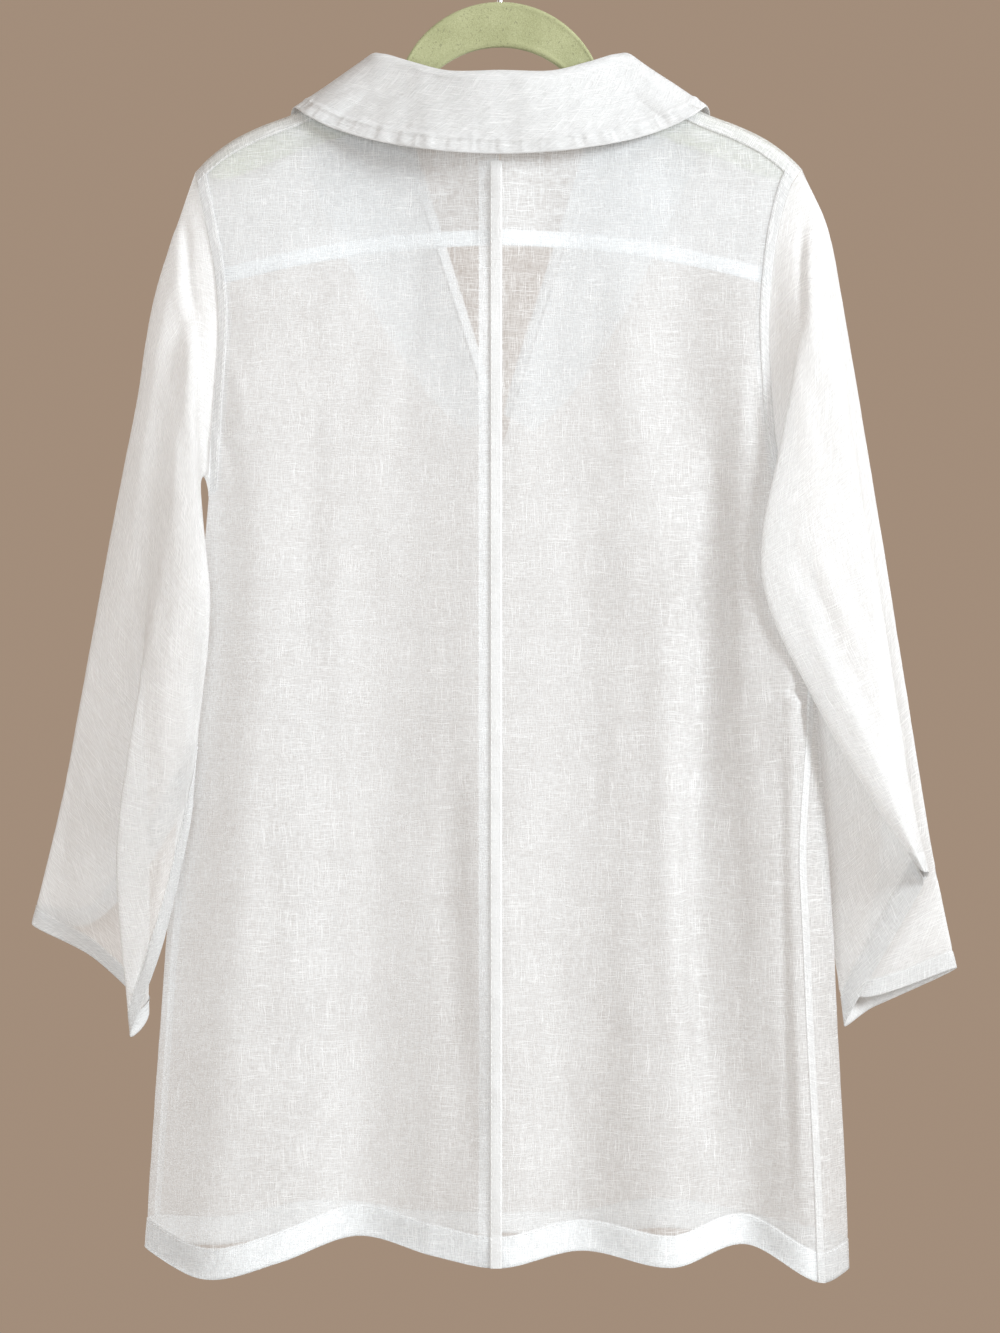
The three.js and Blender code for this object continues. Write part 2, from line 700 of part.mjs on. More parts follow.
// A ring of a sleeve's mid-surface at a height w: 0 is the armhole, 1 the top of the hem and 2 its edge.
// Each ring is a smooth closed curve through the fold lines, and the first is the armhole itself.
function sleeveRing(side, folds, w) {
  const count = folds.length;
  const lines = folds.map((fold) => [
    armholePoint(side, fold.start),
    ...fold.x.map((x, i) => new THREE.Vector3(x, fold.y[i], fold.z[i])),
  ]);
  const ring = (at) => {
    const c = lines.map((line) => {
      const end = line.length - 1;
      const hem = CUFF_WIDTH / line[end].distanceTo(line[end - 1]);
      return alongFold(line, at < 1 ? at * (end - hem) : end - hem * (2 - at));
    });
    const points = [];
    for (let j = 0; j < count; j += 1) {
      for (let k = 0; k < RING_STEPS; k += 1) {
        const around = [j + count - 1, j, j + 1, j + 2].map((m) => c[m % count]);
        points.push(roundFold(...around, k / RING_STEPS));
      }
    }
    return points;
  };
  const points = ring(w);
  const fade = Math.max(0, 1 - w * folds[0].x.length) ** 2;
  if (fade === 0) return points;
  const first = ring(0);
  return points.map((p, m) => p.addScaledVector(armholePoint(side, ringShare(folds, m)).sub(first[m]), fade));
}

// The share of the way round the armhole at which a ring's point starts.
function ringShare(folds, m) {
  const j = Math.floor(m / RING_STEPS);
  const next = j + 1 < folds.length ? folds[j + 1].start : 1;
  return lerp(folds[j].start, next, (m % RING_STEPS) / RING_STEPS);
}

function addSleeve(name, side, folds) {
  const rows = [...steps(0, 1, folds[0].x.length * SLEEVE_STEPS), ...[1 + CUFF_STEP, 2]];
  const points = rows.map((w) => sleeveRing(side, folds, w));
  const e = 0.005;
  const normals = rows.map((w, i) => {
    const before = sleeveRing(side, folds, Math.max(0, w - e));
    const after = sleeveRing(side, folds, Math.min(2, w + e));
    const count = points[i].length;
    return points[i].map((p, m) => {
      const around = points[i][(m + 1) % count].clone().sub(points[i][(m + count - 1) % count]);
      return around.cross(after[m].clone().sub(before[m])).multiplyScalar(side).normalize();
    });
  });
  // At the armhole the wall stands clear of the panels, whichever way it faces.
  points[0].forEach((p, m) => {
    const near = smooth(1 - Math.abs(ringShare(folds, m) - 0.5) / UNDERARM_SPAN);
    p.x += side * (WALL / 2) * (Math.abs(normals[0][m].x) + near);
  });
  const inner = rows.map(() => -WALL / 2);
  const outer = rows.map((w) => WALL / 2 + (w > 1 ? HEM_RAISE : 0));
  addPiece("sleeve_" + name, wall(points, normals, inner, outer, true), LINEN);
}

// Collar

// Finds the depth of the body's mid-surface at a place in the back or front view.
function bodyDepthAt(x, z, front) {
  const side = x < 0 ? -1 : 1;
  let v = 0;
  let angle = 0;
  for (let i = 0; i < DEPTH_ROUNDS; i += 1) {
    const s = Math.min(1, Math.abs(x) / halfWidth(side, v));
    angle = front ? Math.PI - Math.asin(s) : Math.asin(s);
    v = Math.min(1, Math.max(0, rowAt(side, angle, front, z)));
  }
  return bodyPoint(side, angle, v, front).y;
}

// Moves a point of the collar's fall off the body where it would touch it.
function clearOfBody(p, front) {
  if (p.z > topEdge(Math.abs(p.x), front) + 2) return p;
  const depth = bodyDepthAt(p.x, p.z, front);
  p.y = front ? Math.max(p.y, depth + LAPEL_LIFT) : Math.min(p.y, depth - LAPEL_LIFT);
  return p;
}

function collarSection(station) {
  const { seam, roll, edge, out } = station;
  const up = seam.clone().sub(roll).normalize();
  const down = edge.clone().sub(roll).normalize();
  const radius = Math.min(ROLL_RADIUS, ROLL_SHARE * seam.distanceTo(roll));
  const inner = roll.clone().addScaledVector(out, -radius).addScaledVector(up, 2 * radius);
  const outer = roll.clone().addScaledVector(out, radius).addScaledVector(down, 2 * radius);
  const key = [seam, inner, roll, outer, edge];
  const points = [];
  SECTION_STEPS.forEach((count, i) => {
    for (let k = 0; k < count; k += 1) {
      points.push(roundFold(key[Math.max(0, i - 1)], key[i], key[i + 1], key[Math.min(4, i + 2)], k / count));
    }
  });
  points.push(edge.clone());
  return points;
}

function addCollar() {
  const half = COLLAR.map((row) => {
    const at = (key) => new THREE.Vector3(...row[key]);
    const station = { seam: at("seam"), roll: at("roll"), edge: at("edge") };
    if (row.front) {
      for (const key of ["seam", "roll", "edge"]) {
        const p = station[key];
        p.y = bodyDepthAt(p.x, p.z, true) + (key === "seam" ? 0 : LAPEL_LIFT);
      }
    }
    return station;
  });
  const mirror = (p) => new THREE.Vector3(-p.x, p.y, p.z);
  const other = half.slice(1).reverse();
  const stations = other.map((s) => ({ seam: mirror(s.seam), roll: mirror(s.roll), edge: mirror(s.edge) }));
  stations.push(...half);
  const lines = ["seam", "roll", "edge"].map((key) => stations.map((s) => s[key]));
  const along = steps(0, stations.length - 1, (stations.length - 1) * COLLAR_STEPS);
  const points = along.map((t) => {
    const [seam, roll, edge] = lines.map((line) => alongFold(line, t));
    const next = alongFold(lines[1], Math.min(stations.length - 1, t + TANGENT_STEP));
    const tangent = next.sub(alongFold(lines[1], Math.max(0, t - TANGENT_STEP)));
    const out = edge.clone().sub(roll).cross(tangent).normalize();
    const front = t < FRONT_START || t > stations.length - 1 - FRONT_START;
    const section = collarSection({ seam, roll, edge, out });
    return section.map((p, k) => (k < STAND_COLUMNS ? p : clearOfBody(p, front)));
  });
  const last = points.length - 1;
  const before = (rows, i) => rows[Math.max(0, i - 1)];
  const after = (rows, i) => rows[Math.min(last, i + 1)];
  const facing = points.map((row, i) =>
    row.map((p, j) => {
      const around = after(points, i)[j].clone().sub(before(points, i)[j]);
      const across = row[Math.min(row.length - 1, j + 1)].clone().sub(row[Math.max(0, j - 1)]);
      return around.cross(across).normalize();
    }),
  );
  // Averaged along the collar, so that the wall turns evenly round the shoulder.
  const normals = facing.map((row, i) =>
    row.map((n, j) => {
      const sum = before(facing, i)[j].clone().add(after(facing, i)[j]);
      return sum.addScaledVector(n, 2).normalize();
    }),
  );
  const thick = points.map(() => COLLAR_WALL / 2);
  addPiece("collar", wall(points, normals, thick.map((x) => -x), thick), LINEN_DOUBLE);
}

// Hanger

// The flat hanger's outline in the plane of the shoulders: an arch at the neck and two sloping arms.
function hangerGeometry() {
  const shape = new THREE.Shape();
  const bevel = HANGER_BEVEL;
  const arm = ARM_TOP.map((row) => new THREE.Vector2(Math.min(row.x, ARM_END - bevel), row.z - bevel));
  const arch = steps(0, ARCH_TURN, ARCH_STEPS).map((a) => {
    const r = ARCH_RADIUS - bevel;
    return new THREE.Vector2(r * Math.sin(a), ARCH_Z + r * Math.cos(a));
  });
  const low = ARM_BOTTOM.map((row) => new THREE.Vector2(Math.min(row.x, ARM_END - bevel), row.z + bevel));
  const inner = steps(INNER_TURN, 0, ARCH_STEPS).map((a) => {
    const r = INNER_RADIUS + bevel;
    return new THREE.Vector2(r * Math.sin(a), INNER_Z + r * Math.cos(a));
  });
  const right = [...arch, ...arm, ...low, ...inner];
  const left = right.map((p) => new THREE.Vector2(-p.x, p.y)).reverse();
  shape.setFromPoints([...right, ...left.slice(1, -1)]);
  const geometry = new THREE.ExtrudeGeometry(shape, {
    depth: HANGER_THICK - 2 * bevel,
    bevelSize: bevel,
    bevelThickness: bevel,
    bevelSegments: 2,
    steps: 1,
  });
  geometry.translate(0, 0, -HANGER_THICK / 2 + bevel);
  geometry.rotateX(Math.PI / 2);
  return geometry;
}

function hookGeometry() {
  const crownZ = HOOK_WIRE / 2;
  const centreZ = crownZ - HOOK_RADIUS;
  const path = new THREE.CurvePath();
  const p = (x, z) => new THREE.Vector3(x, 0, z);
  path.add(new THREE.LineCurve3(p(0, HANGER_TOP + GAP), p(0, HOOK_BEND_Z)));
  path.add(
    new THREE.CubicBezierCurve3(
      p(0, HOOK_BEND_Z),
      p(0, HOOK_BEND_Z + HOOK_RISE),
      p(HOOK_RADIUS, centreZ - HOOK_DROP),
      p(HOOK_RADIUS, centreZ),
    ),
  );
  const onArc = (a) => p(HOOK_RADIUS * Math.cos(a), centreZ + HOOK_RADIUS * Math.sin(a));
  const arc = steps(0, HOOK_SWEEP, ARC_STEPS).map(onArc);
  path.add(new THREE.CatmullRomCurve3(arc));
  const section = new THREE.Shape();
  section.absarc(0, 0, HOOK_WIRE / 2, 0, 2 * Math.PI);
  return new THREE.ExtrudeGeometry(section, {
    steps: HOOK_STEPS,
    extrudePath: path,
    curveSegments: HOOK_SIDES,
  });
}

addBody("left", -1);
addBody("right", 1);
addPiece("centre_back_seam", centreBackSeam(), LINEN_DOUBLE);
addSleeve("left", -1, LEFT_FOLDS);
addSleeve("right", 1, RIGHT_FOLDS);
addCollar();
addPiece("hanger", hangerGeometry(), FLOCK);
addPiece("hook", hookGeometry(), WIRE);

export default jacket;
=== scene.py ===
"""Looks of a linen tunic jacket on a flat flocked hanger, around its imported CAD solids.

The cloth is rebuilt as thin sheets on the forms of the solids, from the same named sizes in
millimetres, with finer folds, creases, turned hems, felled seams and stitching."""

import math

import bpy
import numpy as np
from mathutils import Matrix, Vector


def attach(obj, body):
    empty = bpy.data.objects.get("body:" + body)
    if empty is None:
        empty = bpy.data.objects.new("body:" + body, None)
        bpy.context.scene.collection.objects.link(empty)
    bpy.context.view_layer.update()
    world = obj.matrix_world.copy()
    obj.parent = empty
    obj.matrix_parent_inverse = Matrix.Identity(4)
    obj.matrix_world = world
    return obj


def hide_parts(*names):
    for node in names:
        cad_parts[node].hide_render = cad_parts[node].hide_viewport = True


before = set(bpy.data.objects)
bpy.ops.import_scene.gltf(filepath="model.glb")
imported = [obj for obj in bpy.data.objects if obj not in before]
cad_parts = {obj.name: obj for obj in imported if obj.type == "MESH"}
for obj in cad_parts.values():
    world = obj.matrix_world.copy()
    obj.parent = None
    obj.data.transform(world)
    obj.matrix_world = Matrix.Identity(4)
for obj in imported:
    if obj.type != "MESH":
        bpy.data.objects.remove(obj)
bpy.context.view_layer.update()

MM = 0.001

# Body, in the sizes of the solids
TIP_Z = -181
UNDERARM_Z = -412
HEM_Z = -936
HEM_HALF = 246
HEM_WIDTH = 20
CUFF_WIDTH = 19
NECK_HALF = 84
NECK_Z = -113
NECK_BACK_Z = -140
NECK_BACK_DEPTH = 22
NECK_RISE = 2.2
NECK_ROUND = 0.8
NECK_REACH = 140
V_Z = -376
FRONT_HALF_GAP = 1
PANEL_GAP = 0.1  # half the gap between two panels under a seam
RIDGE = 15
RIDGE_Y = 0.3
FACING_Z = -234
FACING_DROP = 28
FACING_TOP = 8
FACING_BAND = 10.5  # turned edge of the facing
SEAM_WIDTH = 8.4
SEAM_RIGHT = 1.4
SEAM_ALLOWANCE = 7.7  # beside the raised centre seam, on the inside
FELL_WIDTH = 6.5
SEAM_TOP = -176
SHOULDER_SEAM_X = 149
EDGE_TURN = 0.1
SEAM_TURN = {-1: 12, 1: -25}
SEAM_TURN_SPAN = 0.35
NECK_SHARE = 0.3  # share of a panel's columns between the middle and the neck point
PANEL_COLUMNS = 120
PANEL_ROWS = 300
HEM_ROWS = 8  # inside
TOP_ROWS = (0, 0.002, 0.004, 0.007, 0.011, 0.016, 0.022)
# Rows of the mesh beside the hem's stitches, in mm down from them
HEM_LINES = (-6, -4, -2.6, -1.6, -0.8, 0, 0.8, 1.8, 3.2, 5.5, 9, 13, 17)
HEM_STITCH_POINTS = 160
SHOULDER_HALF = 211
NORMAL_STEP = 1e-3
TURN_STEP = 0.01


def table(head, *rows):
    """A table with named columns."""
    return dict(zip(head.split(), np.array(rows, float).T))


SHOULDER = table(
    "x z",
    (84, -113), (115, -127), (146, -141), (166, -148.5),
    (184, -157), (196, -165), (206, -173.5), (213, -181),
)
OUTLINE = table(
    "z left right back front open",
    (-181, 213, 211, 11, 11, 8),
    (-196, 210, 202, 12, 12, 10),
    (-225, 204, 194, 13, 13, 12),
    (-255, 198.5, 189.5, 15, 15, 13),
    (-290, 196, 187, 17, 17, 14),
    (-330, 198, 188.5, 19, 20, 13),
    (-370, 201, 192, 21, 22, 10),
    (-398, 202.5, 198, 22, 24, 5),
    (-412, 204, 203, 23, 25, 0),
    (-480, 210, 213, 26, 28, 0),
    (-550, 217, 222, 29, 32, 0),
    (-670, 229, 231, 34, 37, 0),
    (-770, 237, 236, 38, 41, 0),
    (-860, 243, 241, 42, 45, 0),
    (-936, 248, 244, 45, 48, 0),
)
BACK_FLUTES = table(
    "x out hem",
    (-246, 4, -932),
    (-200, 20, -947),
    (-150, 4, -936),
    (-98, -20, -921),
    (-45, -2, -932),
    (0, 8, -938.5),
    (57, -7, -929),
    (119, 8, -938.5),
    (172, -14, -926.5),
    (222, 22, -951),
    (246, 8, -947),
)
FRONT_FLUTES = table(
    "x out hem",
    (-246, 4, -932),
    (-196, 14, -940),
    (-128, -16, -926),
    (-62, 14, -936),
    (0, -4, -931),
    (54, 12, -936),
    (122, -18, -925),
    (198, 16, -942),
    (246, 8, -947),
)
FLUTE_GROWTH = table("z share", (-150, 0), (-250, 0.1), (-412, 0.3), (-640, 0.6), (-960, 1))

# Creases of the cloth: a line from one end to the other in the back view, how wide it is, and how
# far it stands out (+) or sinks in (-).
BACK_CREASES = table(
    "x0 z0 x1 z1 width out",
    (-168, -250, -176, -900, 17, 3.2),
    (-126, -270, -122, -860, 13, -3.2),
    (-84, -255, -80, -500, 15, 2.6),
    (-32, -560, -27, -930, 15, -4.2),
    (44, -330, 50, -900, 18, 2.8),
    (100, -420, 106, -925, 15, -3.2),
    (142, -300, 146, -925, 13, -11.0),
    (170, -340, 174, -900, 14, 3.5),
    (201, -420, 209, -930, 9, 5.0),
    (192, -490, 202, -935, 4.5, -1.7),
    (60, -232, 76, -400, 12, -1.5),
    (-60, -220, -66, -380, 10, -1.2),
    (196, -543, 212, -548, 3, -1.6),
    (194, -549, 214, -556, 3.5, 1.5),
    (182, -330, 176, -395, 5, -1.4),
    (175, -300, 165, -380, 6, 1.3),
    (-188, -300, -176, -370, 6, 1.2),
    (-195, -345, -184, -410, 5, -1.3),
    (-205, -560, -190, -640, 7, -0.9),
    (-150, -620, -143, -760, 6, 0.9),
    (8, -640, 13, -760, 5, -0.8),
    (78, -560, 70, -690, 7, 0.8),
)
FRONT_CREASES = table(
    "x0 z0 x1 z1 width out",
    (-170, -260, -180, -900, 16, 2.2),
    (-120, -300, -116, -880, 14, -2.3),
    (-58, -420, -52, -925, 13, 2.0),
    (-24, -440, -20, -900, 9, -1.6),
    (26, -430, 30, -910, 10, -1.8),
    (70, -390, 76, -925, 15, 2.4),
    (122, -300, 126, -915, 13, -2.4),
    (168, -280, 182, -910, 14, 2.2),
    (-190, -320, -178, -400, 6, -1.2),
    (184, -310, 172, -400, 6, 1.3),
    (-100, -560, -92, -700, 7, 0.9),
    (44, -620, 52, -780, 6, -0.9),
)

# Sleeves: a row for each fold line, in order round the sleeve. It has the line's share of the way
# round the armhole, and its x, y and z from there to the cuff.
RING_STEPS = 16
SLEEVE_ROWS = 190
SLEEVE_LENGTH = 555  # from armhole to hem
LEFT_FOLDS = (
    # outer edge
    (0, (-241, -254, -269, -285, -307, -328), (0, 0, 0, 0, 0, 2),
     (-266, -340, -419, -504, -621, -707)),
    # outer strip
    (0.1, (-233, -246, -258, -268, -282, -284), (-13, -13, -12, -9, -4, -1),
     (-275, -352, -430, -512, -635, -731)),
    # pleat behind the drape
    (0.2, (-221, -234, -244, -249, -244, -245), (-17, -18, -18, -16, -14, -11),
     (-290, -370, -445, -522, -660, -768)),
    # drape, outer fold
    (0.28, (-214, -224, -234, -248, -265, -256), (-24, -26, -27, -27, -26, -24),
     (-315, -395, -468, -535, -655, -782)),
    # drape, middle
    (0.38, (-211, -213, -217, -221, -228, -232), (-22, -28, -31, -31, -30, -27),
     (-352, -425, -495, -560, -650, -715)),
    # inner edge
    (0.46, (-208.5, -204, -201, -203, -209, -213.5), (-12, -21, -24, -25, -25, -24),
     (-398, -446, -480, -520, -572, -621)),
    # far side, inner
    (0.6, (-214, -221, -228, -236, -243, -248), (12, 11, 10, 9, 8, 7),
     (-385, -445, -500, -560, -620, -668)),
    # far side, outer
    (0.85, (-232, -246, -257, -266, -281, -288), (14, 14, 14, 14, 13, 13),
     (-300, -372, -450, -530, -630, -708)),
)
RIGHT_FOLDS = (
    # outer edge
    (0, (230, 243, 256, 270, 285, 301, 321), (0, 0, 0, 1, 4, 8, 12),
     (-225, -295, -370, -455, -545, -642, -739)),
    # turn behind the flap
    (0.09, (225, 238, 250, 260, 266, 266, 250), (-12, -13, -12, -8, -4, -1, 6),
     (-240, -308, -380, -468, -562, -655, -757)),
    # fine fold
    (0.17, (219, 233, 247, 262, 276, 287, 297), (-20, -21, -20, -18, -16, -15, -15),
     (-258, -322, -392, -472, -552, -624, -673)),
    # drape, middle
    (0.26, (212, 215, 217, 226, 247, 271, 293), (-26, -29, -31, -31, -31, -31, -32),
     (-285, -345, -412, -480, -548, -618, -669)),
    # drape, lower edge
    (0.35, (203, 194, 181, 185, 212, 254, 290), (-24, -27, -29, -29, -28, -27, -28),
     (-318, -372, -437, -483, -541, -614, -667)),
    # pleat under the drape
    (0.43, (206, 209, 215, 225, 247, 273, 294), (-12, -15, -14, -14, -14, -14, -14.5),
     (-370, -402, -440, -490, -546, -620, -680)),
    # flap, inner edge
    (0.53, (213, 215, 218, 221, 224, 228, 242), (5, 8, 10, 12, 14, 17, 0),
     (-403, -434, -462, -510, -580, -670, -776)),
    # far side
    (0.75, (215, 228, 238, 250, 262, 266, 264), (16, 17, 18, 19, 20, 22, 24),
     (-320, -360, -420, -490, -565, -665, -768)),
)
# How far each fold line's hem reaches up it, in hem widths: more where the edge runs aslant
HEM_SLANT = {-1: (1, 1, 1, 1.3, 2.3, 2.3, 2.0, 1.1), 1: (1, 1, 1, 1, 1, 1.4, 1.5, 1.1)}
LEFT_CREASES = table(
    "x0 z0 x1 z1 width out",
    (-247, -608, -216, -602, 2.6, -1.3),
    (-244, -613, -214, -606, 3, 1.1),
    (-232, -300, -222, -470, 6, 1.0),
    (-240, -420, -252, -600, 7, -1.1),
    (-222, -440, -236, -640, 6, 0.9),
    (-262, -430, -290, -640, 6, 0.9),
    (-208, -500, -214, -590, 5, -0.8),
    (-228, -640, -244, -740, 5, 0.9),
    (-290, -560, -312, -690, 5, -0.8),
    (-223, -205, -211, -290, 3.2, -1.8),
    (-211, -280, -203, -392, 3.2, -2.0),
    (-229, -215, -217, -300, 5, 1.6),
    (-217, -290, -209, -400, 5, 1.6),
)
RIGHT_CREASES = table(
    "x0 z0 x1 z1 width out",
    (186, -442, 292, -652, 6, 1.3),
    (192, -430, 296, -628, 5, -1.2),
    (206, -424, 276, -560, 6, 1.0),
    (222, -430, 296, -590, 5, -0.9),
    (203, -470, 250, -560, 4, -0.9),
    (225, -280, 246, -420, 7, 0.9),
    (214, -300, 222, -400, 6, -0.9),
    (304, -668, 312, -677, 3, -1.2),
    (262, -600, 300, -672, 4, 0.9),
    (236, -330, 262, -480, 6, -0.8),
    (213, -205, 206, -305, 3.2, -1.8),
    (219, -210, 213, -315, 5, 1.6),
)

# Collar: stations from the centre back round one side of the neck to the end of the front
ROLL_RADIUS = 2.4
ROLL_SHARE = 0.22
LAPEL_LIFT = 5.5
FRONT_START = 6.1
COLLAR_STEPS = 30
SECTION_STEPS = (3, 6, 7, 50)
EDGE_CROWD = 1.6  # how the last columns crowd to the edge
COLLAR_THICK = 1.5
TANGENT_STEP = 0.05
DEPTH_ROUNDS = 12  # in which a place on the body is found
NORMAL_ROUNDS = 40  # that smooth the collar's normals
STITCH_INSET = 10  # from the collar's edge
COLLAR = (
    (False, (0, -22.5, -139), (0, -26, -115), (0, -31, -173)),
    (False, (34, -20, -135), (35, -24, -115), (44, -30, -170.5)),
    (False, (60, -14, -126), (60, -17, -108), (84, -24, -163.5)),
    (False, (73, -9, -119), (76, -10, -102), (114, -18, -154)),
    (False, (79, -5, -113), (83, -5, -100), (134, -13, -144)),
    (False, (80.5, 0, -110), (85, 0, -99.5), (144.5, 0, -136)),
    (False, (79, 5, -115), (82, 8, -104), (147, 14, -146)),
    (True, (70, 0, -147), (67, 0, -140), (138, 0, -172)),
    (True, (57.5, 0, -190), (52.5, 0, -187), (122, 0, -208)),
    (True, (35.3, 0, -260), (30, 0, -258), (88, 0, -278)),
    (True, (15.8, 0, -321), (10.5, 0, -320), (50, 0, -335)),
    (True, (6.6, 0, -350), (3.5, 0, -349), (24, 0, -360)),
)

# Hanger and hook
HANGER_THICK = 6
HANGER_RIM = 2.6
HANGER_TOP = -62
ARCH_RADIUS = 73.5
ARCH_TURN = 1.2
INNER_RADIUS = 67
INNER_Z = -160.7
INNER_TURN = 1.35
ARM_END = 203
ARM_TOP = table(
    "x z",
    (72, -116.5), (78, -120.5), (88, -121), (115, -130), (146, -143.2),
    (166, -150.8), (184, -160), (196, -168.6), (203, -175),
)
ARM_BOTTOM = table("x z", (203, -186), (190, -186), (150, -170), (110, -156), (84, -150))
HOOK_WIRE = 3.8
HOOK_RADIUS = 20
HOOK_BEND_Z = -50
HOOK_RISE = 8
HOOK_DROP = 14
HOOK_SWEEP = 3.5
HANGER_COLUMNS, HANGER_SIDES = 150, 48
HOOK_ROWS, HOOK_SIDES = 120, 20
RIM_SQUARE, FACE_SQUARE = 0.32, 0.5  # how square the hanger's section is
BEAD_DEPTH, BEAD_SPAN = 0.22, 2.5  # how much thinner it is inside its rims

# View: the photo's middle and height at the cloth
VIEW_Z = -527
VIEW_HEIGHT = 933
VIEW_DISTANCE = 2300
SENSOR = 36


# Numbers


def lerp(a, b, t):
    return a + (b - a) * t


def smooth(t):
    c = np.clip(t, 0, 1)
    return c * c * (3 - 2 * c)


def unit(v):
    return v / np.maximum(np.linalg.norm(v, axis=-1, keepdims=True), 1e-9)


def spans(points, axis=0):
    """Distances between neighbours in a grid of points."""
    return np.linalg.norm(np.diff(points, axis=axis), axis=-1)


def runs(steps, axis=0):
    """Running lengths along an axis, from 0."""
    return np.insert(np.cumsum(steps, axis), 0, 0, axis)


def read(rows, key, column, at):
    """A column of a table at any value of its key, along a smooth curve through the rows."""
    k, c = rows[key], rows[column]
    sign = 1 if k[-1] > k[0] else -1
    x = np.asarray(at, float)
    i = np.clip(np.searchsorted(sign * k, sign * x) - 1, 0, len(k) - 2)
    slope = np.empty(len(k))
    slope[1:-1] = (c[2:] - c[:-2]) / (k[2:] - k[:-2])
    slope[0] = (c[1] - c[0]) / (k[1] - k[0])
    slope[-1] = (c[-1] - c[-2]) / (k[-1] - k[-2])
    step = k[i + 1] - k[i]
    t = np.clip((x - k[i]) / step, 0, 1)
    t2, t3 = t * t, t * t * t
    return (
        (2 * t3 - 3 * t2 + 1) * c[i]
        + (t3 - 2 * t2 + t) * step * slope[i]
        + (3 * t2 - 2 * t3) * c[i + 1]
        + (t3 - t2) * step * slope[i + 1]
    )


def noise(x, y, seed):
    """Smooth noise from -1 to 1 whose bumps are about one unit wide."""

    def corner(i, j):
        h = np.sin(i * 127.1 + j * 311.7 + seed * 74.7) * 43758.5453
        return 2 * (h - np.floor(h)) - 1

    i, j = np.floor(x), np.floor(y)
    f, g = smooth(x - i), smooth(y - j)
    upper = lerp(corner(i, j), corner(i + 1, j), f)
    lower = lerp(corner(i, j + 1), corner(i + 1, j + 1), f)
    return lerp(upper, lower, g)


def creased(x, z, rows):
    """How far creases stand out at a place in the back view."""
    total = np.zeros(np.broadcast(x, z).shape)
    for x0, z0, x1, z1, width, out in zip(*rows.values()):
        dx, dz = x1 - x0, z1 - z0
        length = math.hypot(dx, dz)
        t = ((x - x0) * dx + (z - z0) * dz) / length**2
        across = ((x - x0) * dz - (z - z0) * dx) / length
        bend = 0.35 * width * np.sin(2.2 * np.pi * t + x0)
        ends = smooth(t / 0.3) * smooth((1 - t) / 0.3)
        total += out * ends * np.exp(-(((across - bend) / width) ** 2))
    return total


def crinkle(x, z, seed):
    """The unevenness of loosely woven linen."""
    large = noise(x / 24, z / 60, seed) * 0.32
    small = noise(x / 10, z / 15, seed + 1) * 0.16
    return large + small + noise(x / 4.8, z / 5.5, seed + 2) * 0.07


def sewn(above, along, seed):
    """Relief of a turned hem, from how far above its stitched line and along it a place is."""
    band = 0.4 * smooth(0.5 - above / 3)
    groove = -0.45 * np.exp(-((above / 1.2) ** 2))
    pucker = 0.5 * np.exp(-((above / 7) ** 2)) * noise(along / 6, above / 40, seed)
    return band + groove + pucker


# Body


def top_edge(x, front):
    x = np.asarray(x, float)
    t = np.clip(x / NECK_HALF, 0, 1)
    inner = lerp(V_Z, NECK_Z, t) if front else lerp(NECK_BACK_Z, NECK_Z, t**NECK_RISE)
    return np.where(x >= NECK_HALF, read(SHOULDER, "x", "z", x), inner)


def half_width(side, v):
    return read(OUTLINE, "z", "left" if side < 0 else "right", lerp(TIP_Z, HEM_Z, v))


UNDERARM_V = (UNDERARM_Z - TIP_Z) / (HEM_Z - TIP_Z)
HEM_TOP_V = 1 - HEM_WIDTH / (TIP_Z - HEM_Z)
NECK_ANGLE = math.asin(NECK_HALF / SHOULDER_HALF)


def body_point(side, angle, v, front):
    """A point of the body's surface: the angle runs from the middle of the back round the side
    to the middle of the front, and v from the top edge to the hem."""
    angle, v = np.broadcast_arrays(np.asarray(angle, float), np.asarray(v, float))
    s, c = np.sin(angle), np.cos(angle)
    edge_z = lerp(TIP_Z, HEM_Z, v)
    x_top = half_width(side, 0) * s
    top = top_edge(x_top, front)
    at = side * s * HEM_HALF
    wave = np.where(c < 0, read(FRONT_FLUTES, "x", "out", at), read(BACK_FLUTES, "x", "out", at))
    hem = np.where(c < 0, read(FRONT_FLUTES, "x", "hem", at), read(BACK_FLUTES, "x", "hem", at))
    z = lerp(top, hem, v)
    flat = np.sqrt(np.maximum(0, 1 - s**4))
    own = np.where(c < 0, read(OUTLINE, "z", "front", z), read(OUTLINE, "z", "back", z))
    depth = own + wave * read(FLUTE_GROWTH, "z", "share", z)
    gape = np.maximum(0, read(OUTLINE, "z", "open", edge_z))
    gape = np.where(edge_z > UNDERARM_Z, gape, 0)
    facing = 1 if front else -1
    full = facing * gape * (1 - flat) - np.sign(c) * depth * flat
    neck = np.clip(x_top / NECK_HALF, 0, 1)
    below = np.where(neck < 1, NECK_Z - z, top - z) if front else top - z
    reach = RIDGE if front else lerp(NECK_REACH, RIDGE, neck)
    r = np.clip(below / reach, 0, 1)
    over = np.sqrt(1 - (1 - r) ** 2)
    rise = over if front else lerp(smooth(r), over, neck)
    arch = np.maximum(0, np.cos(np.pi / 2 * neck)) ** NECK_ROUND
    standing = 0 if front else NECK_BACK_DEPTH * arch
    y = lerp(facing * (RIDGE_Y + standing), full, rise)
    return np.stack([side * half_width(side, v) * s, y, z], -1)


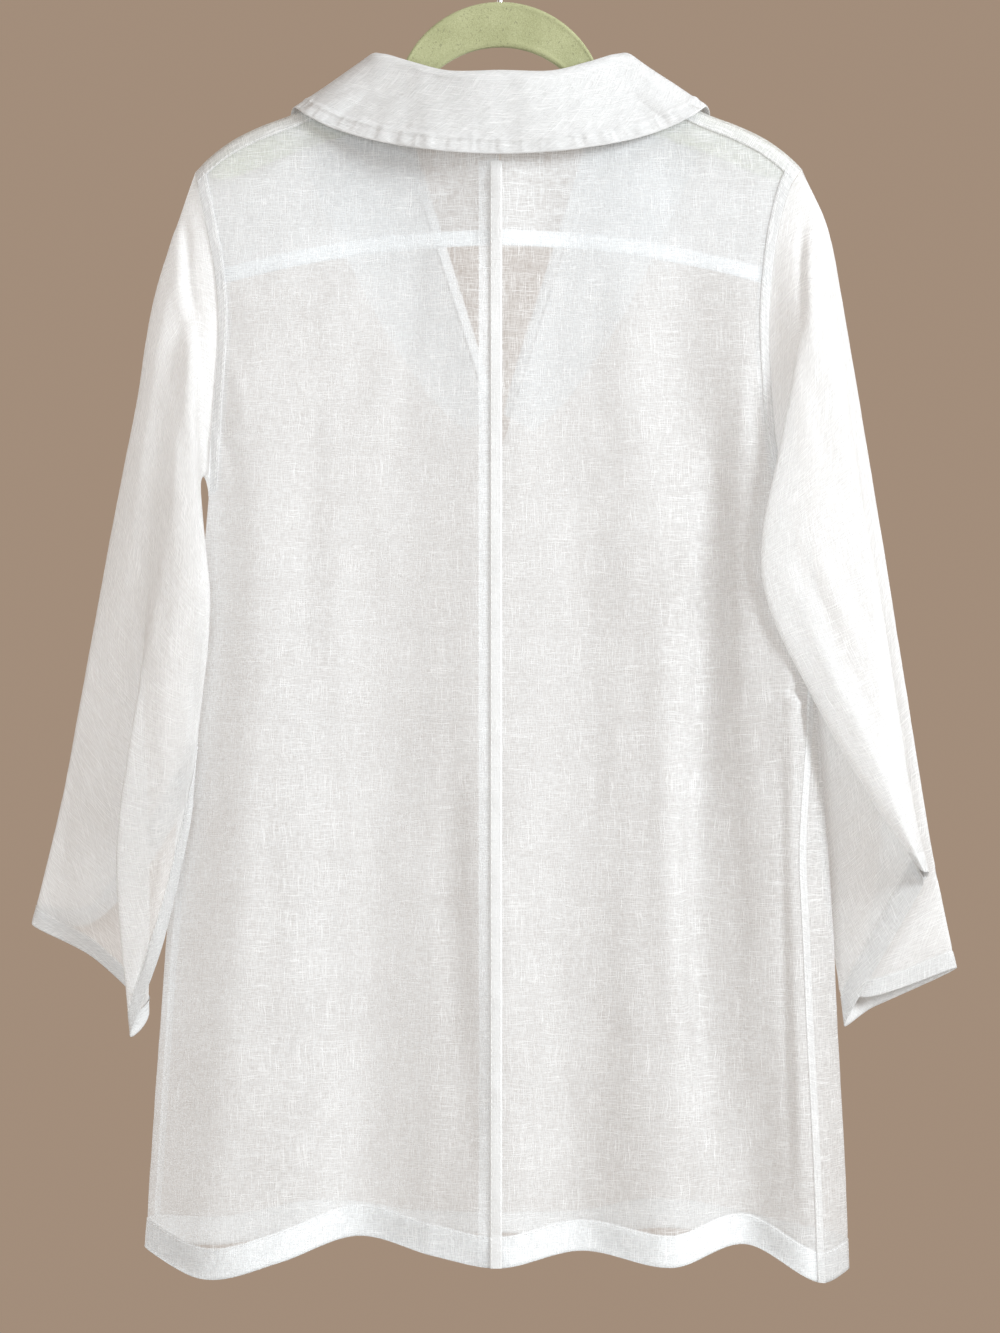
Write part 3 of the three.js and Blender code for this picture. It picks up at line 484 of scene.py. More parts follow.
def body_normal(side, angle, v, front):
    e = NORMAL_STEP
    angle, v = np.broadcast_arrays(np.asarray(angle, float), np.asarray(v, float))
    edge = np.pi / 2 + (EDGE_TURN if front else -EDGE_TURN)
    kept = np.maximum(angle, edge) if front else np.minimum(angle, edge)
    at = np.where(v < UNDERARM_V, kept, angle)
    across = body_point(side, at + e, v, front) - body_point(side, at - e, v, front)
    down = body_point(side, angle, np.minimum(1, v + e / 2), front)
    down = down - body_point(side, angle, np.maximum(0, v - e / 2), front)
    return unit(np.cross(across, down) * -side)


def side_angle(side, v):
    return np.radians(90 + SEAM_TURN[side] * smooth((v - UNDERARM_V) / SEAM_TURN_SPAN))


def side_turn(side, v, width):
    e = TURN_STEP
    seam = side_angle(side, v)
    span = body_point(side, seam - e, v, False) - body_point(side, seam + e, v, True)
    return width * 2 * e / np.linalg.norm(span, axis=-1)


def panel_angle(side, front, v, t):
    """The angle a share of the way from the middle of a panel to its side seam."""
    middle = np.arcsin((FRONT_HALF_GAP if front else PANEL_GAP) / half_width(side, v))
    start = np.pi - middle if front else middle
    neck = np.pi - NECK_ANGLE if front else NECK_ANGLE
    below = side_turn(side, v, PANEL_GAP)
    gap = np.where(v > UNDERARM_V, below, PANEL_GAP / half_width(side, v))
    end = side_angle(side, v) + (gap if front else -gap)
    inner = lerp(start, neck, t / NECK_SHARE)
    outer = lerp(neck, end, (t - NECK_SHARE) / (1 - NECK_SHARE))
    return np.where(t < NECK_SHARE, inner, outer)


def body_relief(side, angle, v, front, p):
    """Creases, crinkles and the pucker beside sewn lines, in the cloth's own direction."""
    rows = FRONT_CREASES if front else BACK_CREASES
    x, z = p[..., 0], p[..., 2]
    soft = creased(x, z, rows) + crinkle(x, z, 11 if front else 3)
    seam = np.abs(angle - side_angle(side, v)) * half_width(side, v) * 0.4
    edge = smooth(seam / 12) * smooth((v - 0.004) / 0.03)
    if not front:
        edge = edge * lerp(0.35, 1, smooth(np.abs(x) / 22))
    hem = sewn((HEM_TOP_V - v) * (TIP_Z - HEM_Z), x, 21)
    if front:
        return soft * edge + hem
    return soft * edge + hem + 0.5 * np.exp(-((x / 9) ** 2)) * noise(z / 9, x / 12, 23)


def cloth(side, front, angle, v, off=0.0):
    """A place on the finished cloth of the body, off away from it."""
    p = body_point(side, angle, v, front)
    n = body_normal(side, angle, v, front)
    return p + n * (body_relief(side, angle, v, front, p) + off)[..., None]


# Meshes


def add_object(name, data):
    obj = bpy.data.objects.new(name, data)
    bpy.context.scene.collection.objects.link(obj)
    return obj


class Piece:
    """Grids of points that become one mesh, with cloth coordinates in metres."""

    def __init__(self, name):
        self.name = name
        self.grids = []

    def grid(self, points, cloth_uv=None, closed=False, finish=0):
        if cloth_uv is None:
            cv = runs(spans(points).mean(1))
            cu = runs(spans(points, 1).mean(0))
            if closed:
                step = np.linalg.norm(points[:, 0] - points[:, -1], axis=-1).mean()
                cu = np.append(cu, cu[-1] + step)
            u, v = np.meshgrid(cu, cv)
            cloth_uv = np.stack([u, v], -1)
        self.grids.append((points, cloth_uv, closed, finish))
        return self

    def build(self, materials, slot, replaces=()):
        co, corners, uvs, finishes = [], [], [], []
        start = 0
        for points, uv, closed, finish in self.grids:
            rows, columns = points.shape[:2]
            steps = columns if closed else columns - 1
            i, j = np.meshgrid(np.arange(rows - 1), np.arange(steps), indexing="ij")
            k = (j + 1) % columns
            here, below = i * columns, (i + 1) * columns
            quad = [here + j, below + j, below + k, here + k]
            corners.append(np.stack(quad, -1).reshape(-1, 4) + start)
            square = [uv[i, j], uv[i + 1, j], uv[i + 1, j + 1], uv[i, j + 1]]
            uvs.append(np.stack(square, -2).reshape(-1, 2))
            own = np.zeros((rows - 1, steps), int) + np.reshape(finish, (-1, 1))
            finishes.append(own.reshape(-1))
            co.append(points.reshape(-1, 3))
            start += rows * columns
        co = np.concatenate(co) * MM
        corners = np.concatenate(corners)
        mesh = bpy.data.meshes.new(self.name)
        mesh.vertices.add(len(co))
        mesh.vertices.foreach_set("co", co.astype(np.float32).ravel())
        mesh.loops.add(corners.size)
        mesh.loops.foreach_set("vertex_index", corners.astype(np.int32).ravel())
        mesh.polygons.add(len(corners))
        mesh.polygons.foreach_set("loop_start", np.arange(0, corners.size, 4, dtype=np.int32))
        layer = mesh.uv_layers.new(name="cloth")
        layer.data.foreach_set("uv", (np.concatenate(uvs) * MM).astype(np.float32).ravel())
        for material in materials:
            mesh.materials.append(material)
        mesh.polygons.foreach_set("material_index", np.concatenate(finishes).astype(np.int32))
        mesh.update(calc_edges=True)
        mesh.validate()
        mesh.shade_smooth()
        obj = add_object(self.name, mesh)
        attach(obj, "root")
        if replaces:
            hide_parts(*replaces)
        return obj


# Materials

# How many threads there are to a metre across and along them, and which part of the noise they use
WARP_SLUBS, WEFT_SLUBS = (1500, 32, 1), (36, 1450, 5)
WARP_FINE, WEFT_FINE = (2100, 150, 3), (160, 2000, 7)
SLUB_SHARE, FINE_SHARE = 0.45, 0.55
SAGE, SAGE_DEEP, SAGE_SPECK = (0.43, 0.44, 0.26, 1), (0.30, 0.31, 0.165, 1), (0.13, 0.13, 0.08, 1)


class Shader:
    """A small helper to write a material's node tree."""

    def __init__(self, name):
        self.material = bpy.data.materials.new(name)
        self.material.use_nodes = True
        self.tree = self.material.node_tree
        self.tree.nodes.clear()

    def node(self, kind, inputs=None, **settings):
        n = self.tree.nodes.new(kind)
        for key, value in settings.items():
            setattr(n, key, value)
        for key, value in (inputs or {}).items():
            if isinstance(value, bpy.types.NodeSocket):
                self.tree.links.new(value, n.inputs[key])
            else:
                n.inputs[key].default_value = value
        return n

    def maths(self, operation, a, b=0.0, clamp=False):
        n = self.node("ShaderNodeMath", {0: a, 1: b}, operation=operation, use_clamp=clamp)
        return n.outputs[0]

    def vector(self, operation, inputs):
        return self.node("ShaderNodeVectorMath", inputs, operation=operation).outputs[0]

    def between(self, value, low, high, to_low, to_high):
        limits = {"From Min": low, "From Max": high, "To Min": to_low, "To Max": to_high}
        return self.node("ShaderNodeMapRange", {"Value": value, **limits}).outputs["Result"]

    def mix(self, factor, low, high):
        n = self.node("ShaderNodeMix", {0: factor, 6: low, 7: high}, data_type="RGBA")
        return n.outputs[2]

    def speckle(self, place, scale, detail=2.0):
        """Noise of the scales along the three axes of a place."""
        where = {"Vector": place, "Scale": scale}
        moved = self.node("ShaderNodeMapping", where, vector_type="POINT")
        values = {"Vector": moved.outputs[0], "Scale": 1.0, "Detail": detail, "Roughness": 0.55}
        return self.node("ShaderNodeTexNoise", values).outputs["Fac"]

    def coat(self, values):
        return self.end(self.node("ShaderNodeBsdfPrincipled", values).outputs[0])

    def end(self, surface):
        self.node("ShaderNodeOutputMaterial", {"Surface": surface})
        return self.material


def linen(name, thin, colour, deep, through, bump):
    """Slubby linen gauze: uneven threads both ways, with gaps between them where it is thin."""
    s = Shader(name)
    flat = s.node("ShaderNodeUVMap", uv_map="cloth").outputs["UV"]
    wander = s.node("ShaderNodeTexNoise", {"Vector": flat, "Scale": 60.0, "Detail": 1.0})
    centred = s.vector("SUBTRACT", {0: wander.outputs["Color"], 1: (0.5, 0.5, 0.5)})
    place = s.vector("ADD", {0: flat, 1: s.vector("SCALE", {0: centred, "Scale": 0.004})})
    # Thick threads show singly, and the fine ones between them close the ground.
    slubs = s.maths(
        "MAXIMUM",
        s.between(s.speckle(place, WARP_SLUBS, 1.0), 0.55, 0.70, 0.0, 1.0),
        s.between(s.speckle(place, WEFT_SLUBS, 1.0), 0.55, 0.70, 0.0, 1.0),
    )
    warp = s.between(s.speckle(place, WARP_FINE, 1.0), 0.38, 0.62, 0.0, 1.0)
    weft = s.between(s.speckle(place, WEFT_FINE, 1.0), 0.38, 0.62, 0.0, 1.0)
    ground = s.maths("MULTIPLY", s.maths("ADD", warp, weft), 0.5)
    thick = s.maths("MULTIPLY", slubs, SLUB_SHARE)
    threads = s.maths("ADD", thick, s.maths("MULTIPLY", ground, FINE_SHARE))
    uneven = s.between(s.speckle(flat, (34, 20, 11)), 0.3, 0.7, -0.06, 0.06)
    weave = s.maths("ADD", threads, uneven, True)
    mixed = s.mix(weave, (*deep, 1), (*colour, 1))
    bumped = s.node("ShaderNodeBump", {"Strength": bump, "Distance": 0.0004, "Height": weave})
    cloth_shader = s.node(
        "ShaderNodeBsdfPrincipled",
        {
            "Base Color": mixed,
            "Roughness": 0.92,
            "Specular IOR Level": 0.15,
            "Sheen Weight": 0.25,
            "Sheen Roughness": 0.5,
            "Normal": bumped.outputs[0],
        },
    )
    lit = cloth_shader.outputs[0]
    if through > 0:
        behind = s.node("ShaderNodeBsdfTranslucent", {"Color": mixed})
        shares = {0: through, 1: cloth_shader.outputs[0], 2: behind.outputs[0]}
        lit = s.node("ShaderNodeMixShader", shares).outputs[0]
    if thin is None:
        return s.end(lit)
    cover = s.between(weave, 0.05, 0.85, *thin)
    clear = s.node("ShaderNodeBsdfTransparent")
    return s.end(s.node("ShaderNodeMixShader", {0: cover, 1: clear.outputs[0], 2: lit}).outputs[0])


def flock(name):
    """Velvety flock with fine dark specks."""
    s = Shader(name)
    place = s.node("ShaderNodeTexCoord").outputs["Object"]
    fibres = s.speckle(place, (1500, 1500, 1500))
    specks = s.speckle(place, (620, 620, 620), 1.0)
    cloudy = s.speckle(place, (28, 28, 28))
    tone = s.maths("ADD", s.maths("MULTIPLY", fibres, 0.6), s.maths("MULTIPLY", cloudy, 0.4))
    green = s.mix(s.between(tone, 0.35, 0.65, 0.0, 1.0), SAGE_DEEP, SAGE)
    dark = s.mix(s.between(specks, 0.66, 0.72, 0.0, 0.4), green, SAGE_SPECK)
    bumped = s.node("ShaderNodeBump", {"Strength": 0.5, "Distance": 0.0005, "Height": fibres})
    values = {
        "Base Color": dark,
        "Roughness": 0.95,
        "Specular IOR Level": 0.1,
        "Sheen Weight": 0.35,
        "Sheen Roughness": 0.35,
        "Sheen Tint": (0.86, 0.92, 0.72, 1),
        "Normal": bumped.outputs[0],
    }
    return s.coat(values)


def steel(name):
    s = Shader(name)
    place = s.node("ShaderNodeTexCoord").outputs["Object"]
    worn = s.between(s.speckle(place, (240, 240, 60)), 0.3, 0.7, 0.2, 0.38)
    values = {"Base Color": (0.68, 0.68, 0.67, 1), "Metallic": 1.0, "Roughness": worn}
    return s.coat(values)


def plain(name, colour):
    s = Shader(name)
    place = s.node("ShaderNodeTexCoord").outputs["Object"]
    tone = s.between(s.speckle(place, (3, 3, 3)), 0.3, 0.7, 0.86, 0.92)
    values = {"Base Color": (*colour, 1), "Roughness": tone}
    return s.coat(values)


WHITE = (0.87, 0.867, 0.86)
SHADED = (0.69, 0.69, 0.688)
GAUZE = linen("linen_gauze", (0.46, 0.94), WHITE, SHADED, 0.28, 0.6)
# The sleeves take the body's linen painted lighter: painted light on the sleeves, with the body's
# gauze as the darker copy.
SLEEVE_PAINTED_LIGHTER = linen("linen_sleeve_painted_lighter", (0.64, 1.0), (0.95, 0.947, 0.94), (0.84, 0.84, 0.835), 0.32, 0.6)
# The facing is the body's linen painted darker: painted shade of the back panel over it.
FACING_PAINTED_SHADE = linen("linen_facing_painted_shade", (0.38, 0.82), (0.62, 0.62, 0.617), (0.52, 0.52, 0.518), 0.2, 0.5)
FELLED = linen("linen_felled", (0.6, 1.0), WHITE, (0.72, 0.72, 0.718), 0.2, 0.6)
FELL = linen("linen_fell", None, (0.81, 0.808, 0.80), (0.72, 0.72, 0.716), 0.12, 0.5)
# The facing's turned band is doubled linen painted darker: painted shade inside the back.
BAND_PAINTED_SHADE = linen("linen_band_painted_shade", None, (0.78, 0.777, 0.77), (0.66, 0.66, 0.657), 0.12, 0.5)
DOUBLED = linen("linen_doubled", None, (0.89, 0.887, 0.88), (0.62, 0.62, 0.615), 0.12, 0.8)
THREAD = linen("sewing_thread", None, (0.93, 0.93, 0.92), (0.84, 0.84, 0.83), 0.0, 0.2)
FLOCK = flock("sage_flock")
STEEL = steel("hook_steel")


# Body pieces

FACING_COLUMNS, FACING_ROWS, BAND_ROWS = 70, 34, 6


def side_name(side):
    return "left" if side < 0 else "right"


def panel(side, front):
    """One panel, its hem turned up inside."""
    hem = HEM_TOP_V + np.append(HEM_LINES, HEM_WIDTH) / (TIP_Z - HEM_Z)
    middle = np.linspace(TOP_ROWS[-1], hem[0], PANEL_ROWS)[1:-1]
    rows = np.concatenate([TOP_ROWS, middle, hem])
    up = np.linspace(1, HEM_TOP_V, HEM_ROWS)
    v = np.concatenate([rows, up])[:, None]
    tucked = 0.25 + 0.75 * smooth((1 - up) / 0.004)
    inward = np.concatenate([np.zeros(len(rows)), tucked])[:, None]
    angle = panel_angle(side, front, v, np.linspace(0, 1, PANEL_COLUMNS)[None, :])
    points = cloth(side, front, angle, v, -inward)
    name = ("front_" if front else "back_") + side_name(side)
    finish = np.arange(len(v) - 1) >= len(rows) - 1
    piece = Piece("cloth_" + name).grid(points, panel_cloth(points), finish=finish)
    obj = piece.build([GAUZE, DOUBLED], "linen", [name])
    obj.visible_shadow = front  # light passes the open gauze of the back
    return obj


def panel_cloth(points):
    """Where each point lies in the flat cloth: across from the middle, and down."""
    across = runs(spans(points, 1), 1) * np.sign(points[-1, -1, 0])
    return np.stack([across, points[..., 2]], -1)


# A folded strip: how far off the panel it starts, how high each kind stands, its rows along the
# seams, and places across it as shares of its width with the share of the height there
STRIP_OFF = 0.15
SEAM_RISE, FELL_RISE, ALLOWANCE_RISE = 0.9, 0.6, 0.3
CENTRE_ROWS, SIDE_ROWS, ARMHOLE_ROWS, SHOULDER_ROWS = 330, 220, 110, 90
STRIP = table(
    "across height",
    (0, 0), (0, 0.55), (0.05, 0.9), (0.14, 1), (0.3, 1), (0.4, 1), (0.5, 1),
    (0.6, 1), (0.7, 1), (0.86, 1), (0.95, 0.9), (1, 0.55), (1, 0),
)


def strip_point(rows, parts, share, off):
    """Points along a strip at a share of its width. Each part of it is a panel, with the angles
    between which the strip lies there."""
    widths = []
    for side, front, first, last in parts:
        a, b = (cloth(side, front, angle, rows, off) for angle in (first, last))
        widths.append(np.linalg.norm(b - a, axis=-1))
    reached = share * sum(widths)
    points, start = 0, 0
    for (side, front, first, last), width in zip(parts, widths):
        t = np.clip((reached - start) / width, 0, 1)
        own = cloth(side, front, lerp(first, last, t), rows, off)
        points = np.where((reached >= start)[:, None], own, points)
        start = start + width
    return points


def laid(name, rows, parts, rise, replaces, finish, inside=False):
    """A folded strip laid along the panels."""
    toward = -1 if inside else 1
    places = zip(*STRIP.values())
    lines = [strip_point(rows, parts, a, toward * (STRIP_OFF + rise * h)) for a, h in places]
    return Piece(name).grid(np.stack(lines, 1)).build([finish], "linen_double", replaces)


def v_at(side, angle, front, z):
    top = body_point(side, angle, 0, front)[..., 2]
    bottom = body_point(side, angle, 1, front)[..., 2]
    return (top - z) / (top - bottom)


def centre_seam():
    """The raised seam down the back, and its allowance inside the left panel."""
    rows = np.linspace(float(v_at(1, 0.0, False, SEAM_TOP)), 1, CENTRE_ROWS)
    reach = SEAM_WIDTH - SEAM_RIGHT
    left = np.arcsin(reach / half_width(-1, rows))
    right = np.arcsin(SEAM_RIGHT / half_width(1, rows))
    parts = [(-1, False, left, 0), (1, False, 0, right)]
    strip = laid("centre_back_fell", rows, parts, SEAM_RISE, ["centre_back_seam"], FELL)
    near = np.arcsin((reach - 1) / half_width(-1, rows))
    far = np.arcsin((reach + SEAM_ALLOWANCE) / half_width(-1, rows))
    parts_inside = [(-1, False, near, far)]
    name = "centre_back_allowance"
    allowance = laid(name, rows, parts_inside, ALLOWANCE_RISE, [], FELLED, True)
    lines = [strip_point(rows, parts, share, STRIP_OFF + SEAM_RISE) for share in (0.13, 0.86)]
    return [strip, allowance], lines


def side_seam(side):
    rows = np.linspace(UNDERARM_V + 0.05, 1, SIDE_ROWS)
    turn = side_turn(side, rows, FELL_WIDTH / 2)
    seam = side_angle(side, rows)
    parts = [(side, False, seam - turn, seam), (side, True, seam, seam + turn)]
    name = "side_seam_" + side_name(side)
    strip = laid(name + "_fell", rows, parts, FELL_RISE, [name], FELLED)
    return strip, strip_point(rows, parts, 0.14, STRIP_OFF + FELL_RISE)


def armhole_seam(side, front):
    sign = 1 if front else -1
    rows = np.linspace(0.008, UNDERARM_V - 0.004, ARMHOLE_ROWS)
    half = half_width(side, rows)
    insets = (0.15, FELL_WIDTH)
    first, last = (np.pi / 2 + sign * np.arccos(1 - inset / half) for inset in insets)
    parts = [(side, front, first, last)]
    name = "armhole_seam_" + ("front_" if front else "back_") + side_name(side)
    strip = laid(name + "_fell", rows, parts, FELL_RISE, [name], FELLED)
    return strip, strip_point(rows, parts, 0.84, STRIP_OFF + FELL_RISE)


def shoulder_seam(side):
    first = math.asin((SHOULDER_SEAM_X - 34) / float(half_width(side, 0)))
    angles = np.linspace(first, math.pi / 2 - 0.04, SHOULDER_ROWS)
    lines = [
        cloth(side, False, angles, lerp(0.0035, 0.0135, a), STRIP_OFF + FELL_RISE * h)
        for a, h in zip(*STRIP.values())
    ]
    name = "shoulder_seam_" + side_name(side)
    strip = Piece(name + "_fell").grid(np.stack(lines, 1)).build([FELLED], "linen_double", [name])
    return strip, cloth(side, False, angles, 0.0122, 0.85)


def facing(side):
    """The facing inside the back, its lower edge turned under."""
    level = np.full(FACING_COLUMNS, UNDERARM_V / 2)
    angle = panel_angle(side, False, level, np.linspace(0.003, 0.985, FACING_COLUMNS))
    share = np.sin(angle)
    start = v_at(side, angle, False, body_point(side, angle, 0, False)[..., 2] - FACING_TOP)
    end = v_at(side, angle, False, FACING_Z - FACING_DROP * share**2)
    rows = lerp(start, end, np.linspace(0, 1, FACING_ROWS)[:, None])
    down = cloth(side, False, angle[None], rows, -1.1)
    band = FACING_BAND / (TIP_Z - HEM_Z)
    rows = end - band * np.linspace(0, 1, BAND_ROWS)[:, None]
    under = cloth(side, False, angle[None], rows, -1.7)
    points = np.concatenate([down, under])
    finish = np.arange(len(points) - 1) >= len(down) - 1
    name = "back_facing_" + side_name(side)
    piece = Piece("cloth_" + name).grid(points, panel_cloth(points), finish=finish)
    # Painted shade: the facing and its turned band take darker copies of the linen.
    obj = piece.build([FACING_PAINTED_SHADE, BAND_PAINTED_SHADE], "linen_double", [name])
    obj.visible_shadow = False
    return obj


# Sleeves


def catmull(a, b, c, d, t):
    t2, t3 = t * t, t * t * t
    return (
        (1.5 * t3 - 2.5 * t2 + 1) * b
        + (-0.5 * t3 + t2 - 0.5 * t) * a
        + (-1.5 * t3 + 2 * t2 + 0.5 * t) * c
        + (0.5 * t3 - 0.5 * t2) * d
    )


def round_fold(a, b, c, d, t):
    """A curve from b to c that turns a tight fold without a loop."""

    def tangent(p, q, r):
        m = (r - p) / 2
        back, on = np.linalg.norm(q - p, axis=-1), np.linalg.norm(r - q, axis=-1)
        most = np.minimum(np.where(back > 0, back, np.inf), np.where(on > 0, on, np.inf))
        length = np.maximum(np.linalg.norm(m, axis=-1), 1e-9)
        return m * np.minimum(1, most / length)[..., None]

    t2, t3 = t * t, t * t * t
    return (
        (2 * t3 - 3 * t2 + 1) * b
        + (3 * t2 - 2 * t3) * c
        + (t3 - 2 * t2 + t) * tangent(a, b, c)
        + (t3 - t2) * tangent(b, c, d)
    )


def along_fold(points, t):
    """Points on a smooth line at the places t, one unit for each of its own points."""
    points = np.asarray(points, float)
    t = np.asarray(t, float)
    last = len(points) - 1
    i = np.minimum(last - 1, np.floor(t).astype(int))
    a, d = points[np.maximum(0, i - 1)], points[np.minimum(last, i + 2)]
    return catmull(a, points[i], points[i + 1], d, (t - i)[:, None])


def armhole_point(side, share):
    front = share > 0.5
    v = 2 * np.where(front, 1 - share, share) * UNDERARM_V
    back = body_point(side, np.pi / 2, v, False)
    fore = body_point(side, np.pi / 2, v, True)
    p = np.where(front[..., None], fore, back)
    p[..., 1] = np.where(share == 0, 0, p[..., 1])
    p[..., 0] += side * 0.2
    return p


def sleeve_rings(side, folds, w):
    """Rings of a sleeve at heights w: 0 is the armhole, 1 the top of the hem, 2 its edge."""
    count = len(folds)
    starts = np.array([fold[0] for fold in folds])
    lines = [
        np.concatenate([armhole_point(side, np.array([start])), np.stack([x, y, z], -1)])
        for start, x, y, z in folds
    ]

    def control(at):
        places = []
        for line, slant in zip(lines, HEM_SLANT[side]):
            end = len(line) - 1
            hem = CUFF_WIDTH * slant / np.linalg.norm(line[end] - line[end - 1])
            t = np.where(at < 1, at * (end - hem), end - hem * (2 - at))
            places.append(along_fold(line, t))
        return np.stack(places, 1)

    def ring(at):
        c = control(at)
        columns = []
        for j in range(count):
            around = [c[:, m % count] for m in (j - 1, j, j + 1, j + 2)]
            for k in range(RING_STEPS):
                columns.append(round_fold(*around, k / RING_STEPS))
        return np.stack(columns, 1)

    share = []
    for j in range(count):
        following = starts[j + 1] if j + 1 < count else 1
        share += [lerp(starts[j], following, k / RING_STEPS) for k in range(RING_STEPS)]
    rings = ring(w)
    fade = np.maximum(0, 1 - w * len(folds[0][1])) ** 2
    shift = armhole_point(side, np.array(share)) - ring(np.zeros(1))[0]
    return rings + fade[:, None, None] * shift[None]


def sleeve(side, folds, creases):
    name = "sleeve_" + side_name(side)
    lines = np.array(HEM_LINES)
    hem = 1 + np.where(lines < 0, lines / SLEEVE_LENGTH, lines / CUFF_WIDTH)
    w = np.concatenate([np.linspace(0, hem[0], SLEEVE_ROWS), hem[1:], [2]])
    up = np.linspace(2, 1.02, HEM_ROWS)
    both = np.concatenate([w, up])
    points = sleeve_rings(side, folds, both)
    e = 0.005
    after = sleeve_rings(side, folds, np.minimum(2, both + e))
    before = sleeve_rings(side, folds, np.maximum(0, both - e))
    around = np.roll(points, -1, 1) - np.roll(points, 1, 1)
    normals = unit(np.cross(around, after - before) * side)
    x, z = points[..., 0], points[..., 2]
    facing_back = smooth(0.5 - normals[..., 1] * 1.5)
    relief = creased(x, z, creases) * facing_back
    relief = relief + creased(x + side * 9, z + 14, creases) * (1 - facing_back) * 0.8
    relief = relief + crinkle(x, z + 50 * normals[..., 1], 31 + side) * 0.8
    relief = relief * smooth(both / 0.04)[:, None]
    turn = np.cumsum(np.linalg.norm(around, axis=-1) / 2, 1)
    above = np.where(both < 1, (1 - both) * SLEEVE_LENGTH, (1 - both) * CUFF_WIDTH)
    relief = relief + sewn(above[:, None], turn, 41 + side)
    inward = np.concatenate([np.zeros(len(w)), 0.2 + 0.7 * smooth((2 - up) / 0.2)])
    points = points + normals * (relief - inward[:, None])[..., None]
    finish = np.arange(len(both) - 1) >= len(w) - 1
    # Cloth coordinates: round the sleeve, and down along it.
    steps = np.linalg.norm(np.roll(points, -1, 1) - points, axis=-1)
    u = runs(steps, 1)
    u = u - u[:, 4 * RING_STEPS][:, None]
    down = runs(spans(points))
    down = lerp(down, down.mean(1)[:, None], 0.5)
    down = np.concatenate([down, down[:, :1]], 1)
    piece = Piece("cloth_" + name).grid(points, np.stack([u, down], -1), True, finish)
    # Painted light: the sleeves take the lighter copy of the linen.
    obj = piece.build([SLEEVE_PAINTED_LIGHTER, DOUBLED], "linen", [name])
    stitched = int(np.argmax(w >= 1)) + 1
    line = points[stitched] + normals[stitched] * 0.3
    return obj, np.concatenate([line, line[:1]])


# Collar


def body_depth(x, z, front):
    side_depths = {}
    for side in (-1, 1):
        v = np.zeros(np.shape(x))
        for _ in range(DEPTH_ROUNDS):
            s = np.minimum(1, np.abs(x) / half_width(side, v))
            angle = np.pi - np.arcsin(s) if front else np.arcsin(s)
            v = np.clip(v_at(side, angle, front, z), 0, 1)
        side_depths[side] = body_point(side, angle, v, front)[..., 1]
    return np.where(np.asarray(x) < 0, side_depths[-1], side_depths[1])


